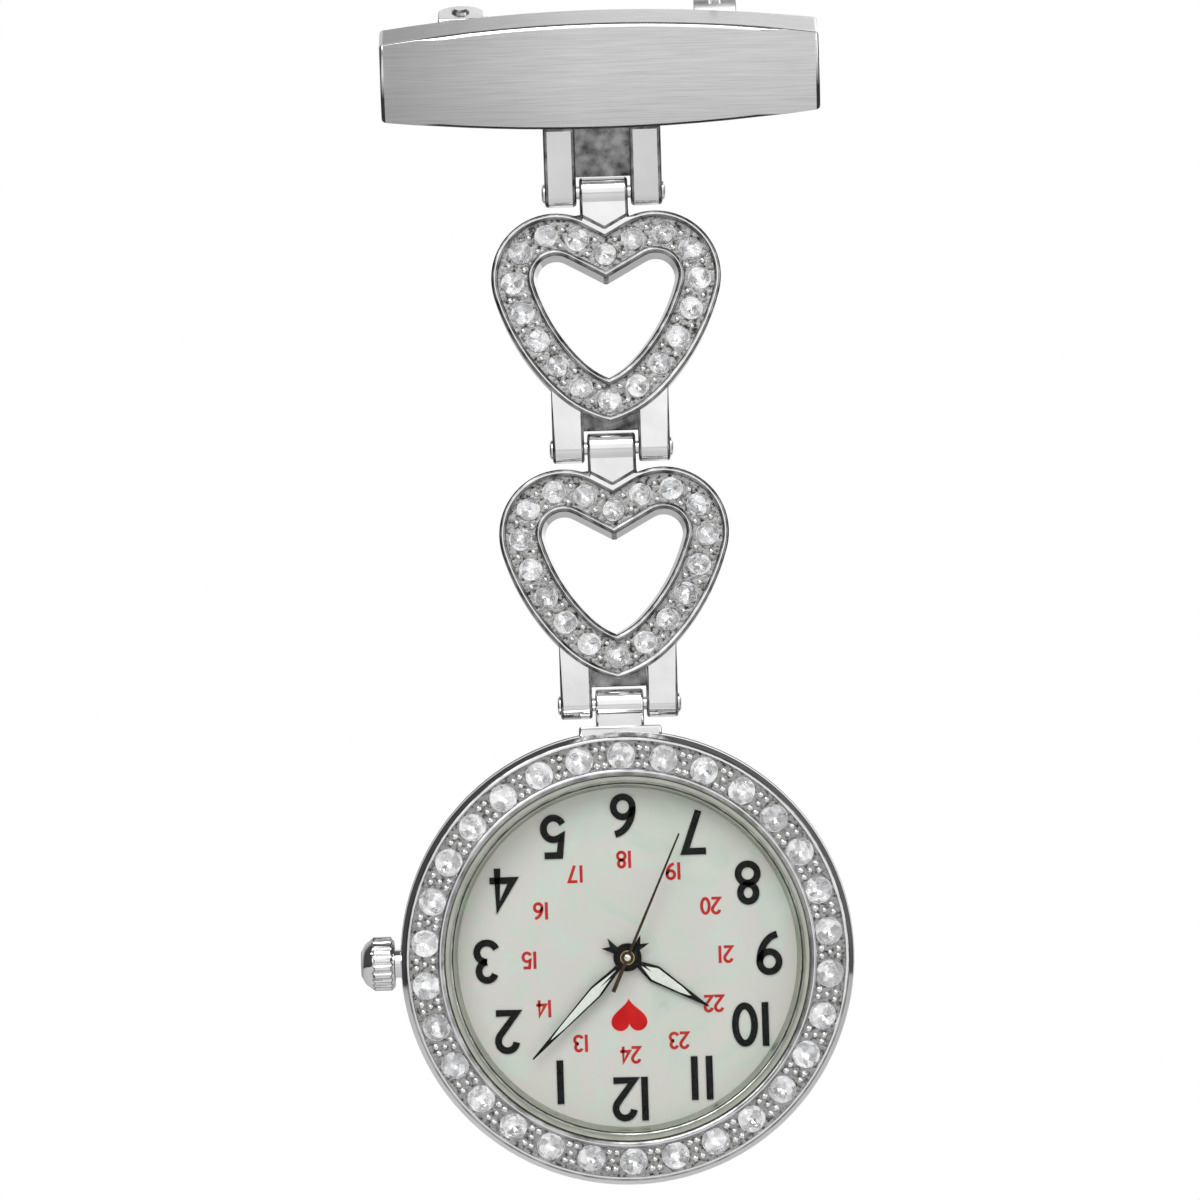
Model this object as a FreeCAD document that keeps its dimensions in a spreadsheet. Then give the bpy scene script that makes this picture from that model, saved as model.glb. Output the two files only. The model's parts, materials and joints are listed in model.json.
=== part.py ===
import FreeCAD, Part
import math
import os
import re

import Sketcher
from FreeCAD import Placement, Rotation, Vector

# Fob watch: a brooch, two heart links and an upside-down quartz watch.
# Millimetres.  World frame: +Z up, front towards -Y, +X to the viewer's right,
# origin in the middle of the brooch needle.

DIMENSIONS = {
    # brooch, in its own frame: x along the bar, y backwards from the front face, z up
    "bar_length": 29.0,
    "bar_height": 7.27,
    "bar_end_height": 5.3,
    "bar_depth": 4.0,
    "bar_top_radius": 107.2,
    "bar_wall": 0.9,
    "bar_crown": 14.0,
    "plate_thick": 0.8,
    "plate_gap": 0.05,
    "stem_back": 5.6,
    "stem_up": 2.2,
    "stem_radius": 0.45,
    "stem_root": 7.3,
    "stem_end": 6.1,
    "stem_point": 3.5,
    "stem_point_radius": 0.08,
    "rivet_x": 9.1,
    "rivet_radius": 0.4,
    "ear_radius": 1.5,
    "ear_thick": 0.5,
    "ear_gap": 1.1,
    "knuckle_height": 0.94,
    "knuckle_radius": 1.0,
    "catch_x": 7.77,
    "catch_length": 2.8,
    "catch_outer": 1.4,
    "catch_inner": 1.0,
    "rotor_outer": 0.93,
    "rotor_inner": 0.6,
    "lever_width": 0.55,
    "lever_slot": 0.8,
    "lever_reach": 2.0,
    # hinges between the links, in each link's frame: origin on its upper hinge axis
    "hinge_drop": 8.37,
    "hinge_back": 1.8,
    "hinge_pitch": 17.0,
    "hinge_pin_radius": 0.45,
    "pin_play": 0.05,
    "pin_head": 0.65,
    "tongue_width": 3.2,
    "tongue_radius": 1.0,
    "tongue_neck": 1.5,
    "prong_inner": 1.8,
    "prong_outer": 3.9,
    "prong_radius": 0.95,
    "web_start": 1.15,
    "web_thick": 1.1,
    # heart links
    "lobe_x": 3.3,
    "lobe_z": -5.7,
    "lobe_radius": 4.33,
    "notch_slope": 29.0,
    "side_radius": 15.0,
    "side_start": 16.0,
    "side_end": 45.0,
    "point_radius": 8.0,
    "heart_thick": 2.0,
    "heart_lean": 5.0,
    "heart_rim": 0.45,
    "heart_hole": 2.8,
    "heart_draft": 8.0,
    "heart_channel_end": 2.38,
    "channel_depth": 0.35,
    "heart_stone": 0.75,
    # watch, in its own frame: x towards 3, y towards 12, z out through the glass
    "case_drop": 16.8,
    "case_radius": 15.05,
    "case_edge": 14.6,
    "case_bore": 11.0,
    "dial_seat_radius": 12.0,
    "case_top": 1.4,
    "dial_seat": 0.6,
    "case_low": -2.6,
    "case_bottom": -3.2,
    "back_bottom": -4.0,
    "back_lip": 12.5,
    "lug_width": 5.5,
    "bezel_top": 3.2,
    "bezel_inner": 12.05,
    "bezel_floor": 2.8,
    "bezel_stone": 0.89,
    "bezel_stone_ring": 13.4,
    "crystal_radius": 11.75,
    "crystal_bottom": 2.4,
    "crystal_top": 3.4,
    "dial_radius": 11.9,
    "dial_top": 1.0,
    "flange_inner": 11.25,
    "crown_radius": 1.8,
    "crown_start": 15.45,
    "crown_length": 2.25,
    "crown_recess": 1.3,
    "flute_radius": 0.16,
    "tube_radius": 0.95,
    "tube_bore": 0.62,
    "setting_stem_radius": 0.35,
    "setting_stem_z": -0.9,
    # movement
    "movement_radius": 9.1,
    "plate_top": -0.1,
    "plate_bottom": -0.7,
    "bridge_top": -2.0,
    "bridge_bottom": -2.35,
    "battery_radius": 2.9,
    "battery_far": 6.1,
    "wheel_thick": 0.15,
    "hour_tube": 0.75,
    "hour_bore": 0.55,
    "cannon_radius": 0.47,
    "cannon_bore": 0.3,
    "arbor_radius": 0.22,
    "pivot_radius": 0.15,
    "pivot_hole": 0.2,
    "rotor_pivot": 0.12,
    "rotor_hole": 0.17,
    "magnet_radius": 0.6,
    "magnet_room": 0.8,
    "pillar_radius": 0.5,
    "post_radius": 0.15,
    "bridge_radius": 6.6,
    "screw_radius": 0.19,
    "screw_head": 0.5,
    "screw_low": -2.56,
    "holder_low": -2.4,
    "battery_bottom": -2.9,
    "battery_top": -0.8,
    "clip_level": -3.01,
    "clip_thick": 0.1,
    "coil_far": 6.3,
    "coil_radius": 0.78,
    "coil_length": 6.0,
    "coil_level": -1.5,
    "stator_level": -1.2,
    "stator_thick": 0.4,
    "board_level": -2.75,
    "board_thick": 0.2,
    "can_radius": 0.7,
    "can_length": 4.2,
    # hand setting
    "square_side": 0.44,
    "square_room": 0.5,
    "groove_radius": 0.2,
    "groove_start": 7.35,
    "groove_end": 7.85,
    "shaft_start": 6.6,
    "square_start": 4.2,
    "pinion_start": 4.75,
    "pinion_length": 1.1,
    "collar_radius": 0.6,
    "lever_x": 8.1,
    "lever_y": -2.4,
    "lever_level": -1.65,
    "lever_thick": 0.2,
    "lever_post": 0.2,
    # hands
    "hand_thick": 0.12,
    "hour_level": 1.25,
    "minute_level": 1.6,
    "second_level": 1.95,
}

STONES_PER_HALF_HEART = 9
BEZEL_STONES = 30
CROWN_FLUTES = 20

doc = FreeCAD.newDocument("FobWatch")
sheet = doc.addObject("Spreadsheet::Sheet", "Sizes")
for row, (alias, number) in enumerate(DIMENSIONS.items(), start=1):
    sheet.set(f"A{row}", alias)
    sheet.set(f"B{row}", str(number))
    sheet.setAlias(f"B{row}", alias)
doc.recompute()

nodes = []


# ---------------------------------------------------------------- helpers

def bound(text):
    """Write an expression of aliases the way the document needs it."""
    def prefix(match):
        word = match.group(0)
        return "Sizes." + word if word in DIMENSIONS else word
    return re.sub(r"[a-z][a-z_]*", prefix, str(text))


def size(text):
    """The number that an expression of aliases has now."""
    return float(sheet.evalExpression(bound(text)))


def turned_to(direction):
    """Rotation that carries a primitive's own Z axis to a direction."""
    return Rotation(Vector(0, 0, 1), Vector(*direction))


UPRIGHT = Rotation()
ALONG_X = turned_to((1, 0, 0))


def place(item, at, rotation=UPRIGHT):
    """Bind an object's position to expressions."""
    item.Placement = Placement(Vector(), rotation)
    for axis, text in zip("xyz", at):
        item.setExpression(f"Placement.Base.{axis}", bound(text))


def primitive(kind, name, at=(0, 0, 0), rotation=UPRIGHT, **sizes):
    """A Part primitive whose sizes and position are bound to the sheet."""
    item = doc.addObject("Part::" + kind, name)
    for key, text in sizes.items():
        item.setExpression(key, bound(text))
    place(item, at, rotation)
    return item


def cylinder(name, radius, height, at=(0, 0, 0), rotation=UPRIGHT):
    return primitive("Cylinder", name, at, rotation, Radius=radius, Height=height)


def block(name, length, width, height, at):
    """A box whose lowest corner is at a point."""
    return primitive("Box", name, at, Length=length, Width=width, Height=height)


def fuse(name, *shapes):
    item = doc.addObject("Part::MultiFuse", name)
    item.Shapes = list(shapes)
    item.Refine = True
    return item


def cut(name, base, *tools):
    item = doc.addObject("Part::Cut", name)
    item.Base = base
    item.Tool = tools[0] if len(tools) == 1 else fuse(name + "_tools", *tools)
    item.Refine = True
    return item


def common(name, *shapes):
    item = doc.addObject("Part::MultiCommon", name)
    item.Shapes = list(shapes)
    return item


def feature(name, shape):
    """A shape that neither sketches nor primitives describe, made from the sheet's sizes."""
    item = doc.addObject("Part::Feature", name)
    item.Shape = shape
    return item


def node(item, label, placement=Placement()):
    """Name a finished piece and put it in its frame."""
    item.Label = label
    for axis in "xyz":
        item.setExpression("Placement.Base." + axis, None)
    item.Placement = placement.multiply(item.Placement)
    nodes.append(item)
    return item


def origin_plane(body, role):
    return [plane for plane in body.Origin.OriginFeatures if plane.Role == role][0]


def sketch_on(body, role, name, height="0"):
    sketch = body.newObject("Sketcher::SketchObject", name)
    sketch.AttachmentSupport = [(origin_plane(body, role), "")]
    sketch.MapMode = "FlatFace"
    sketch.setExpression("AttachmentOffset.Base.z", bound(height))
    return sketch


def edge_between(start, end, radius):
    """Line, or an arc that bulges to the left of its direction when the radius is positive."""
    if not radius:
        return Part.LineSegment(start, end)
    half = (end - start) * 0.5
    rise = abs(radius) - math.sqrt(radius * radius - half.Length ** 2)
    side = Vector(-half.y, half.x, 0).normalize() * math.copysign(rise, radius)
    return Part.Arc(start, start + half + side, end)


def draw_outline(sketch, points):
    """Closed outline through points (x, y) or (x, y, radius of the edge to the next point)."""
    corners = [Vector(size(point[0]), size(point[1]), 0) for point in points]
    radii = [size(point[2]) if len(point) > 2 else 0 for point in points]
    count = len(points)
    first = sketch.GeometryCount
    joined = []
    for index, (corner, radius) in enumerate(zip(corners, radii)):
        edge = edge_between(corner, corners[(index + 1) % count], radius)
        sketch.addGeometry(edge, False)
        forward = radius == 0 or sketch.getPoint(first + index, 1).distanceToPoint(corner) < 1e-6
        joined.append((1, 2) if forward else (2, 1))
    for index in range(count):
        following = (index + 1) % count
        sketch.addConstraint(Sketcher.Constraint(
            "Coincident", first + index, joined[index][1], first + following, joined[following][0]))
    for index, point in enumerate(points):
        start = joined[index][0]
        for kind, text, number in (("DistanceX", point[0], corners[index].x),
                                   ("DistanceY", point[1], corners[index].y)):
            constraint = sketch.addConstraint(
                Sketcher.Constraint(kind, -1, 1, first + index, start, number))
            sketch.setExpression(f"Constraints[{constraint}]", bound(text))
        if radii[index]:
            constraint = sketch.addConstraint(
                Sketcher.Constraint("Radius", first + index, abs(radii[index])))
            sketch.setExpression(f"Constraints[{constraint}]", bound(f"abs({point[2]})"))


def draw_circle(sketch, radius, x="0", y="0"):
    centre = Vector(size(x), size(y), 0)
    circle = sketch.addGeometry(Part.Circle(centre, Vector(0, 0, 1), size(radius)), False)
    for kind, text, number in (("DistanceX", x, centre.x), ("DistanceY", y, centre.y)):
        constraint = sketch.addConstraint(Sketcher.Constraint(kind, -1, 1, circle, 3, number))
        sketch.setExpression(f"Constraints[{constraint}]", bound(text))
    constraint = sketch.addConstraint(Sketcher.Constraint("Radius", circle, size(radius)))
    sketch.setExpression(f"Constraints[{constraint}]", bound(radius))


def turned(name, profile):
    """Body of revolution about Z; the profile is (radius, z) points."""
    body = doc.addObject("PartDesign::Body", name)
    sketch = sketch_on(body, "XZ_Plane", name + "_profile")
    draw_outline(sketch, profile)
    revolution = body.newObject("PartDesign::Revolution", name + "_turn")
    revolution.Profile = sketch
    revolution.ReferenceAxis = (sketch, ["V_Axis"])
    revolution.Angle = 360
    return body


def padded(name, role, thickness, height="0", points=None, circles=()):
    """Body padded from an outline and circles on one of its origin planes."""
    body = doc.addObject("PartDesign::Body", name)
    sketch = sketch_on(body, role, name + "_outline", height)
    if points:
        draw_outline(sketch, points)
    for circle in circles:
        draw_circle(sketch, *circle)
    pad = body.newObject("PartDesign::Pad", name + "_pad")
    pad.Profile = sketch
    pad.setExpression("Length", bound(thickness))
    return body


# ---------------------------------------------------------------- frames

brooch_tilt = math.degrees(math.atan2(size("stem_back - hinge_back"), size("stem_up + hinge_drop")))
first_hinge = math.hypot(size("stem_back - hinge_back"), size("stem_up + hinge_drop"))
pitch = size("hinge_pitch")
tilt = Rotation(Vector(1, 0, 0), brooch_tilt)

BROOCH = Placement(Vector(), tilt).multiply(
    Placement(Vector(0, -size("stem_back"), -size("stem_up")), UPRIGHT))
LINK_FRAMES = [Placement(Vector(0, 0, -first_hinge - pitch * index), UPRIGHT) for index in range(3)]
HANGING = Rotation(Vector(-1, 0, 0), Vector(0, 0, -1), Vector(0, -1, 0), "XYZ")
WATCH = Placement(Vector(0, 0, -first_hinge - 2 * pitch - size("case_drop")), HANGING)


# ---------------------------------------------------------------- brooch

def brooch_bar():
    """Barrel-shaped shell, open at the back, with a slightly crowned front."""
    barrel = padded(
        "bar_barrel", "XZ_Plane", "bar_depth", "-bar_depth",
        [("-bar_length / 2", "-bar_end_height / 2"),
         ("-bar_length / 2", "bar_end_height / 2", "bar_top_radius"),
         ("bar_length / 2", "bar_end_height / 2"),
         ("bar_length / 2", "-bar_end_height / 2", "bar_top_radius")])
    crown = cylinder("bar_crowning", "bar_crown", "bar_length + 2",
                     ("-bar_length / 2 - 1", "bar_crown", 0), ALONG_X)
    hollow = padded(
        "bar_hollow", "XZ_Plane", "bar_depth", "-bar_depth - bar_wall * 1.2",
        [("-bar_length / 2 + bar_wall", "-bar_end_height / 2 + bar_wall"),
         ("-bar_length / 2 + bar_wall", "bar_end_height / 2 - bar_wall", "bar_top_radius"),
         ("bar_length / 2 - bar_wall", "bar_end_height / 2 - bar_wall"),
         ("bar_length / 2 - bar_wall", "-bar_end_height / 2 + bar_wall", "bar_top_radius")])
    node(cut("bar_shell", common("bar_crowned", barrel, crown), hollow), "brooch_bar", BROOCH)


def pin_base_plate():
    """Plate that closes the bar's back, with the two round ears of the needle's hinge."""
    inset = "(bar_wall + plate_gap)"
    plate = padded(
        "base_plate_sheet", "XZ_Plane", "plate_thick", "-bar_depth",
        [(f"-bar_length / 2 + {inset}", f"-bar_end_height / 2 + {inset}"),
         (f"-bar_length / 2 + {inset}", f"bar_end_height / 2 - {inset}", "bar_top_radius"),
         (f"bar_length / 2 - {inset}", f"bar_end_height / 2 - {inset}"),
         (f"bar_length / 2 - {inset}", f"-bar_end_height / 2 + {inset}", "bar_top_radius")])
    pieces = [plate]
    for side, low in (("upper", "stem_up + ear_gap / 2"), ("lower", "stem_up - ear_gap / 2 - ear_thick")):
        pieces.append(cylinder(f"{side}_ear_disc", "ear_radius", "ear_thick",
                               ("-rivet_x", "stem_back", low)))
        pieces.append(block(f"{side}_ear_foot", "2 * ear_radius", "stem_back - bar_depth",
                            "ear_thick", ("-rivet_x - ear_radius", "bar_depth", low)))
    foot = block("ear_bracket", "2 * ear_radius", "0.4", "ear_gap + 2 * ear_thick",
                 ("-rivet_x - ear_radius", "bar_depth", "stem_up - ear_gap / 2 - ear_thick"))
    catch_foot = block("catch_bracket", "catch_length", "stem_back - bar_depth - catch_outer + 0.5",
                       "1.6", ("catch_x - catch_length / 2", "bar_depth", "stem_up - 0.8"))
    bore = cylinder("ear_bore", "rivet_radius + 0.01", "ear_gap + 2 * ear_thick + 0.2",
                    ("-rivet_x", "stem_back", "stem_up - ear_gap / 2 - ear_thick - 0.1"))
    room = cylinder("catch_room", "catch_outer + 0.02", "catch_length + 0.2",
                    ("catch_x - catch_length / 2 - 0.1", "stem_back", "stem_up"), ALONG_X)
    node(cut("base_plate", fuse("base_plate_body", *pieces, foot, catch_foot), bore, room),
         "pin_base_plate", BROOCH)


def pin_stem():
    """Needle: hinge knuckle, flat root, straight shaft and a long point that the catch holds."""
    knuckle = cylinder("stem_knuckle", "knuckle_radius", "knuckle_height",
                       ("-rivet_x", "stem_back", "stem_up - knuckle_height / 2"))
    root = block("stem_root_flat", "rivet_x - stem_root", "1.6 * knuckle_radius", "knuckle_height",
                 ("-rivet_x", "stem_back - 0.8 * knuckle_radius", "stem_up - knuckle_height / 2"))
    shaft = cylinder("stem_shaft", "stem_radius", "stem_root + stem_end",
                     ("-stem_root", "stem_back", "stem_up"), ALONG_X)
    point = primitive("Cone", "stem_taper", ("stem_end", "stem_back", "stem_up"), ALONG_X,
                      Radius1="stem_radius", Radius2="stem_point_radius", Height="stem_point")
    bore = cylinder("stem_bore", "rivet_radius + pin_play", "knuckle_height + 0.2",
                    ("-rivet_x", "stem_back", "stem_up - knuckle_height / 2 - 0.1"))
    node(cut("needle", fuse("needle_body", knuckle, root, shaft, point), bore), "pin_stem", BROOCH)


def pin_rivet():
    """Rivet through the two ears, with a head at each end."""
    reach = "(ear_gap / 2 + ear_thick)"
    profile = [("0", f"-{reach} - 0.25"), ("rivet_radius + 0.2", f"-{reach} - 0.25"),
               ("rivet_radius + 0.2", f"-{reach}"), ("rivet_radius", f"-{reach}"),
               ("rivet_radius", reach), ("rivet_radius + 0.2", reach),
               ("rivet_radius + 0.2", f"{reach} + 0.1"), ("rivet_radius", f"{reach} + 0.25"),
               ("0", f"{reach} + 0.25")]
    position = Placement(Vector(-size("rivet_x"), size("stem_back"), size("stem_up")), UPRIGHT)
    node(turned("rivet", profile), "pin_rivet", BROOCH.multiply(position))


def tube_with_mouth(name, outer, inner, length, mouth):
    """Tube along X round the needle, open at the back by a slot of the given height."""
    start = f"catch_x - ({length}) / 2"
    sleeve = cylinder(name + "_tube", outer, length, (start, "stem_back", "stem_up"), ALONG_X)
    bore = cylinder(name + "_bore", inner, f"{length} + 0.2",
                    (f"{start} - 0.1", "stem_back", "stem_up"), ALONG_X)
    opening = block(name + "_mouth", f"{length} + 0.2", f"{outer} + 1", mouth,
                    (f"{start} - 0.1", "stem_back", f"stem_up - ({mouth}) / 2"))
    return sleeve, bore, opening


def catch():
    """Roll-over safety catch: a fixed C-shaped band and a sleeve that turns inside it."""
    sleeve, bore, opening = tube_with_mouth("housing", "catch_outer", "catch_inner",
                                            "catch_length", "1.5")
    sweep_start = ALONG_X.multiply(Rotation(Vector(0, 0, 1), 55))
    track = primitive("Cylinder", "lever_track",
                      ("catch_x - lever_slot / 2", "stem_back", "stem_up"), sweep_start,
                      Radius="catch_outer + 1", Height="lever_slot", Angle="150")
    node(cut("housing", sleeve, bore, opening, track), "catch_housing", BROOCH)
    sleeve, bore, opening = tube_with_mouth("sleeve", "rotor_outer", "rotor_inner",
                                            "catch_length", "1.1")
    lever = block("thumb_lever", "lever_width", "0.55", "lever_reach - rotor_inner - 0.1",
                  ("catch_x - lever_width / 2", "stem_back - 0.275", "stem_up + rotor_inner + 0.1"))
    node(cut("sleeve", fuse("sleeve_body", sleeve, lever), bore, opening), "catch_rotor", BROOCH)


def bar_fork():
    """Prongs and web under the bar; the upper hinge pin is fixed in the prongs."""
    top = "hinge_drop - bar_height / 2 + 0.08"
    at_hinge = Placement(Vector(0, size("hinge_back"), -size("hinge_drop")), UPRIGHT)
    node(fork("bar_fork_body", top), "bar_fork", BROOCH.multiply(at_hinge))


# ---------------------------------------------------------------- hinges and heart links

def prongs(name, top):
    """Two prongs above a hinge axis along X, joined by a web, without the pin's bore."""
    width = "prong_outer - prong_inner"
    pieces = []
    for side, start in (("left", "-prong_outer"), ("right", "prong_inner")):
        pieces.append(cylinder(f"{name}_{side}_eye", "prong_radius", width, (start, 0, 0), ALONG_X))
        pieces.append(block(f"{name}_{side}_prong", width, "2 * prong_radius", top,
                            (start, "-prong_radius", 0)))
    pieces.append(block(f"{name}_web", "2 * prong_inner", "web_thick", f"{top} - web_start",
                        ("-prong_inner", "prong_radius - 0.1 - web_thick", "web_start")))
    return pieces


def prong_bore(name, at=(0, 0, 0)):
    return cylinder(name, "hinge_pin_radius + 0.01", "2 * prong_outer + 0.2",
                    ("-prong_outer - 0.1", at[1], at[2]), ALONG_X)


def fork(name, top):
    return cut(name, fuse(name + "_blank", *prongs(name, top)), prong_bore(name + "_bore"))


def tongue(name, reach):
    """Knuckle on the hinge axis with a neck that reaches down."""
    knuckle = cylinder(name + "_knuckle", "tongue_radius", "tongue_width",
                       ("-tongue_width / 2", 0, 0), ALONG_X)
    neck = block(name + "_neck", "tongue_width", "tongue_neck", reach,
                 ("-tongue_width / 2", "-tongue_neck / 2", f"-({reach})"))
    return [knuckle, neck]


def tongue_bore(name):
    return cylinder(name, "hinge_pin_radius + pin_play", "tongue_width + 0.2",
                    ("-tongue_width / 2 - 0.1", 0, 0), ALONG_X)


def hinge_pin(label, frame):
    """Link pin with a low domed head at each end of the prongs."""
    profile = [("0", "-prong_outer - 0.2"), ("hinge_pin_radius", "-prong_outer - 0.2"),
               ("pin_head", "-prong_outer - 0.08"), ("pin_head", "-prong_outer"),
               ("hinge_pin_radius", "-prong_outer"), ("hinge_pin_radius", "prong_outer"),
               ("pin_head", "prong_outer"), ("pin_head", "prong_outer + 0.08"),
               ("hinge_pin_radius", "prong_outer + 0.2"), ("0", "prong_outer + 0.2")]
    node(turned(label + "_blank", profile), label, frame.multiply(Placement(Vector(), ALONG_X)))


def heart_arcs(inset):
    """Centre, radius and end angles of the right half's three arcs, for an outline moved in."""
    lobe = Vector(size("lobe_x"), 0, size("lobe_z"))
    notch_end = 90 + size("notch_slope")
    side_start = -size("side_start")
    side_end = -size("side_end")
    side = lobe - polar(size("side_radius - lobe_radius"), side_start)
    point = side + polar(size("side_radius - point_radius"), side_end)
    return [(lobe, size("lobe_radius") - inset, notch_end, side_start),
            (side, size("side_radius") - inset, side_start, side_end),
            (point, size("point_radius") - inset, side_end, None)]


def polar(radius, degrees):
    """Vector in the heart's plane, from +X towards +Z."""
    return Vector(radius * math.cos(math.radians(degrees)), 0, radius * math.sin(math.radians(degrees)))


def half_heart(inset):
    """Edges of the right half, from the notch to the tip."""
    lobe, side, point = heart_arcs(inset)
    centre, radius, start, _ = lobe
    shoulder = centre + polar(radius, start)
    drop = shoulder.x * math.tan(math.radians(size("notch_slope")))
    edges = [Part.makeLine(Vector(0, 0, shoulder.z - drop), shoulder)]
    centre, radius, start, _ = point
    tip_angle = -math.degrees(math.acos(-centre.x / radius))
    for centre, radius, start, end in (lobe, side, (*point[:3], tip_angle)):
        middle = (start + end) / 2
        arc = Part.Arc(*[centre + polar(radius, angle) for angle in (start, middle, end)])
        edges.append(arc.toShape())
    return edges


def heart_wire(inset, depth):
    """Closed heart outline at a depth behind the middle plane."""
    right = Part.Wire(half_heart(inset))
    left = right.mirror(Vector(), Vector(1, 0, 0))
    wire = Part.Wire(Part.__sortEdges__(right.Edges + left.Edges))
    wire.translate(Vector(0, depth, 0))
    return wire


def heart_prism(inset, start, end, end_inset=None):
    """Solid between two depths; the outline at the end may be moved in further."""
    far = heart_wire(inset if end_inset is None else end_inset, end)
    return Part.makeLoft([heart_wire(inset, start), far], True, True)


def gem(radius, position, normal, spin=0):
    """Eight-sided stone: shallow table and crown, thin girdle, short pavilion."""
    levels = ((0.55, 0.38), (1.0, 0.06), (1.0, 0.0), (0.12, -0.5))
    rings = []
    for share, level in levels:
        corners = [Vector(radius * share * math.cos(math.radians(45 * step + spin)),
                          radius * share * math.sin(math.radians(45 * step + spin)),
                          radius * level) for step in range(8)]
        rings.append(Part.makePolygon(corners + corners[:1]))
    stone = Part.makeLoft(rings, True, True)
    stone.Placement = Placement(position, Rotation(Vector(0, 0, 1), normal))
    return stone


def heart_stone_places():
    """Stone centres along the middle of the channel: notch, tip and both sides between."""
    middle = size("heart_rim + heart_channel_end") / 2
    path = Part.Wire(half_heart(middle))
    right = path.discretize(Number=STONES_PER_HALF_HEART + 1)
    left = [Vector(-spot.x, spot.y, spot.z) for spot in right[1:-1]]
    return right + left


def heart_ring():
    """Plain heart with its drafted hole, which narrows towards the back."""
    front = -size("heart_thick") / 2
    hole = size("heart_hole")
    narrowing = size("heart_thick") * math.tan(math.radians(size("heart_draft")))
    ring = heart_prism(0, front, -front).cut(heart_prism(hole, front, -front, hole + narrowing))
    return leaned(ring)


def heart_channel():
    """What is cut from the face: the channel between the rims and a seat for each stone."""
    front = -size("heart_thick") / 2
    floor = front + size("channel_depth")
    channel = heart_prism(size("heart_rim"), front - 1, floor)
    channel = channel.cut(heart_prism(size("heart_channel_end"), front - 1, floor))
    radius = size("heart_stone")
    seats = [Part.makeCylinder(radius + 0.02, 0.45, Vector(spot.x, floor - 0.1, spot.z), Vector(0, 1, 0))
             for spot in heart_stone_places()]
    return leaned(channel.fuse(seats))


def leaned(shape):
    """Lean a heart's shape about its own middle so that its face looks up a little."""
    middle = Vector(0, 0, size("lobe_z") - 2.75)
    shape.rotate(middle, Vector(1, 0, 0), -size("heart_lean"))
    return shape


def heart_link(label, frame):
    """Heart with a tongue on top and a fork below, and its stones."""
    ring = feature(label + "_ring", heart_ring())
    lower = prongs(label + "_fork", "hinge_pitch - 12.9")
    fork_blank = fuse(label + "_fork_blank", *lower)
    place(fork_blank, (0, 0, "-hinge_pitch"))
    hole = feature(label + "_hole", leaned(heart_prism(size("heart_hole"), -3, 3)))
    fork_part = cut(label + "_fork_clear", fork_blank, hole)
    tongue_part = cut(label + "_tongue_clear", fuse(label + "_tongue", *tongue(label + "_top", "3.6")),
                      face_room(label))
    whole = fuse(label + "_whole", ring, tongue_part, fork_part)
    bores = [tongue_bore(label + "_top_bore"),
             prong_bore(label + "_low_bore", (0, 0, "-hinge_pitch"))]
    channel = feature(label + "_channel", heart_channel())
    node(cut(label, whole, channel, *bores), label + "_frame", frame)
    depth = -size("heart_thick") / 2 + size("channel_depth") - 0.05
    radius = size("heart_stone")
    stones = [gem(radius, Vector(spot.x, depth, spot.z), Vector(0, -1, 0))
              for spot in heart_stone_places()]
    node(feature(label + "_gems", leaned(Part.makeCompound(stones))), label + "_stones", frame)


def face_room(label):
    """Space in front of the heart's face, which the tongue's neck stays out of."""
    front = -size("heart_thick") / 2
    return feature(label + "_face_room", leaned(heart_prism(0, front - 2, front)))


# ---------------------------------------------------------------- watch case

def case_body():
    """Case ring with the dial seat, the hole for the crown tube and the hinge lug."""
    ring = turned("case_ring", [
        ("case_bore", "case_low"), ("back_lip + 0.1", "case_low"), ("back_lip + 0.1", "case_bottom"),
        ("case_edge - 0.3", "case_bottom"), ("case_edge", "case_bottom + 0.3"),
        ("case_radius", "case_low + 1.2"), ("case_radius", "case_top - 0.5"),
        ("case_radius - 0.35", "case_top"), ("dial_seat_radius", "case_top"),
        ("dial_seat_radius", "dial_seat"), ("case_bore", "dial_seat")])
    top = "-case_drop"
    knuckle = cylinder("lug_knuckle", "tongue_radius", "tongue_width",
                       ("-tongue_width / 2", top, 0), ALONG_X)
    neck = block("lug_neck", "tongue_width", "case_drop - case_radius + 0.6", "tongue_neck",
                 ("-tongue_width / 2", top, "-tongue_neck / 2"))
    base = block("lug_base", "lug_width", "1.2", "2.0", ("-lug_width / 2", "-case_radius - 0.3", "-1.0"))
    pin_bore = cylinder("lug_bore", "hinge_pin_radius + pin_play", "tongue_width + 0.2",
                        ("-tongue_width / 2 - 0.1", top, 0), ALONG_X)
    tube_hole = cylinder("tube_hole", "tube_radius + 0.01", "6",
                         ("case_bore - 1", 0, "setting_stem_z"), ALONG_X)
    inside = cylinder("lug_trim", "dial_seat_radius + 1", "10", (0, 0, -5))
    lug = cut("lug", fuse("lug_blank", knuckle, neck, base), pin_bore, inside)
    node(fuse("case_whole", cut("case_ring_drilled", ring, tube_hole), lug), "case_body", WATCH)


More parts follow.
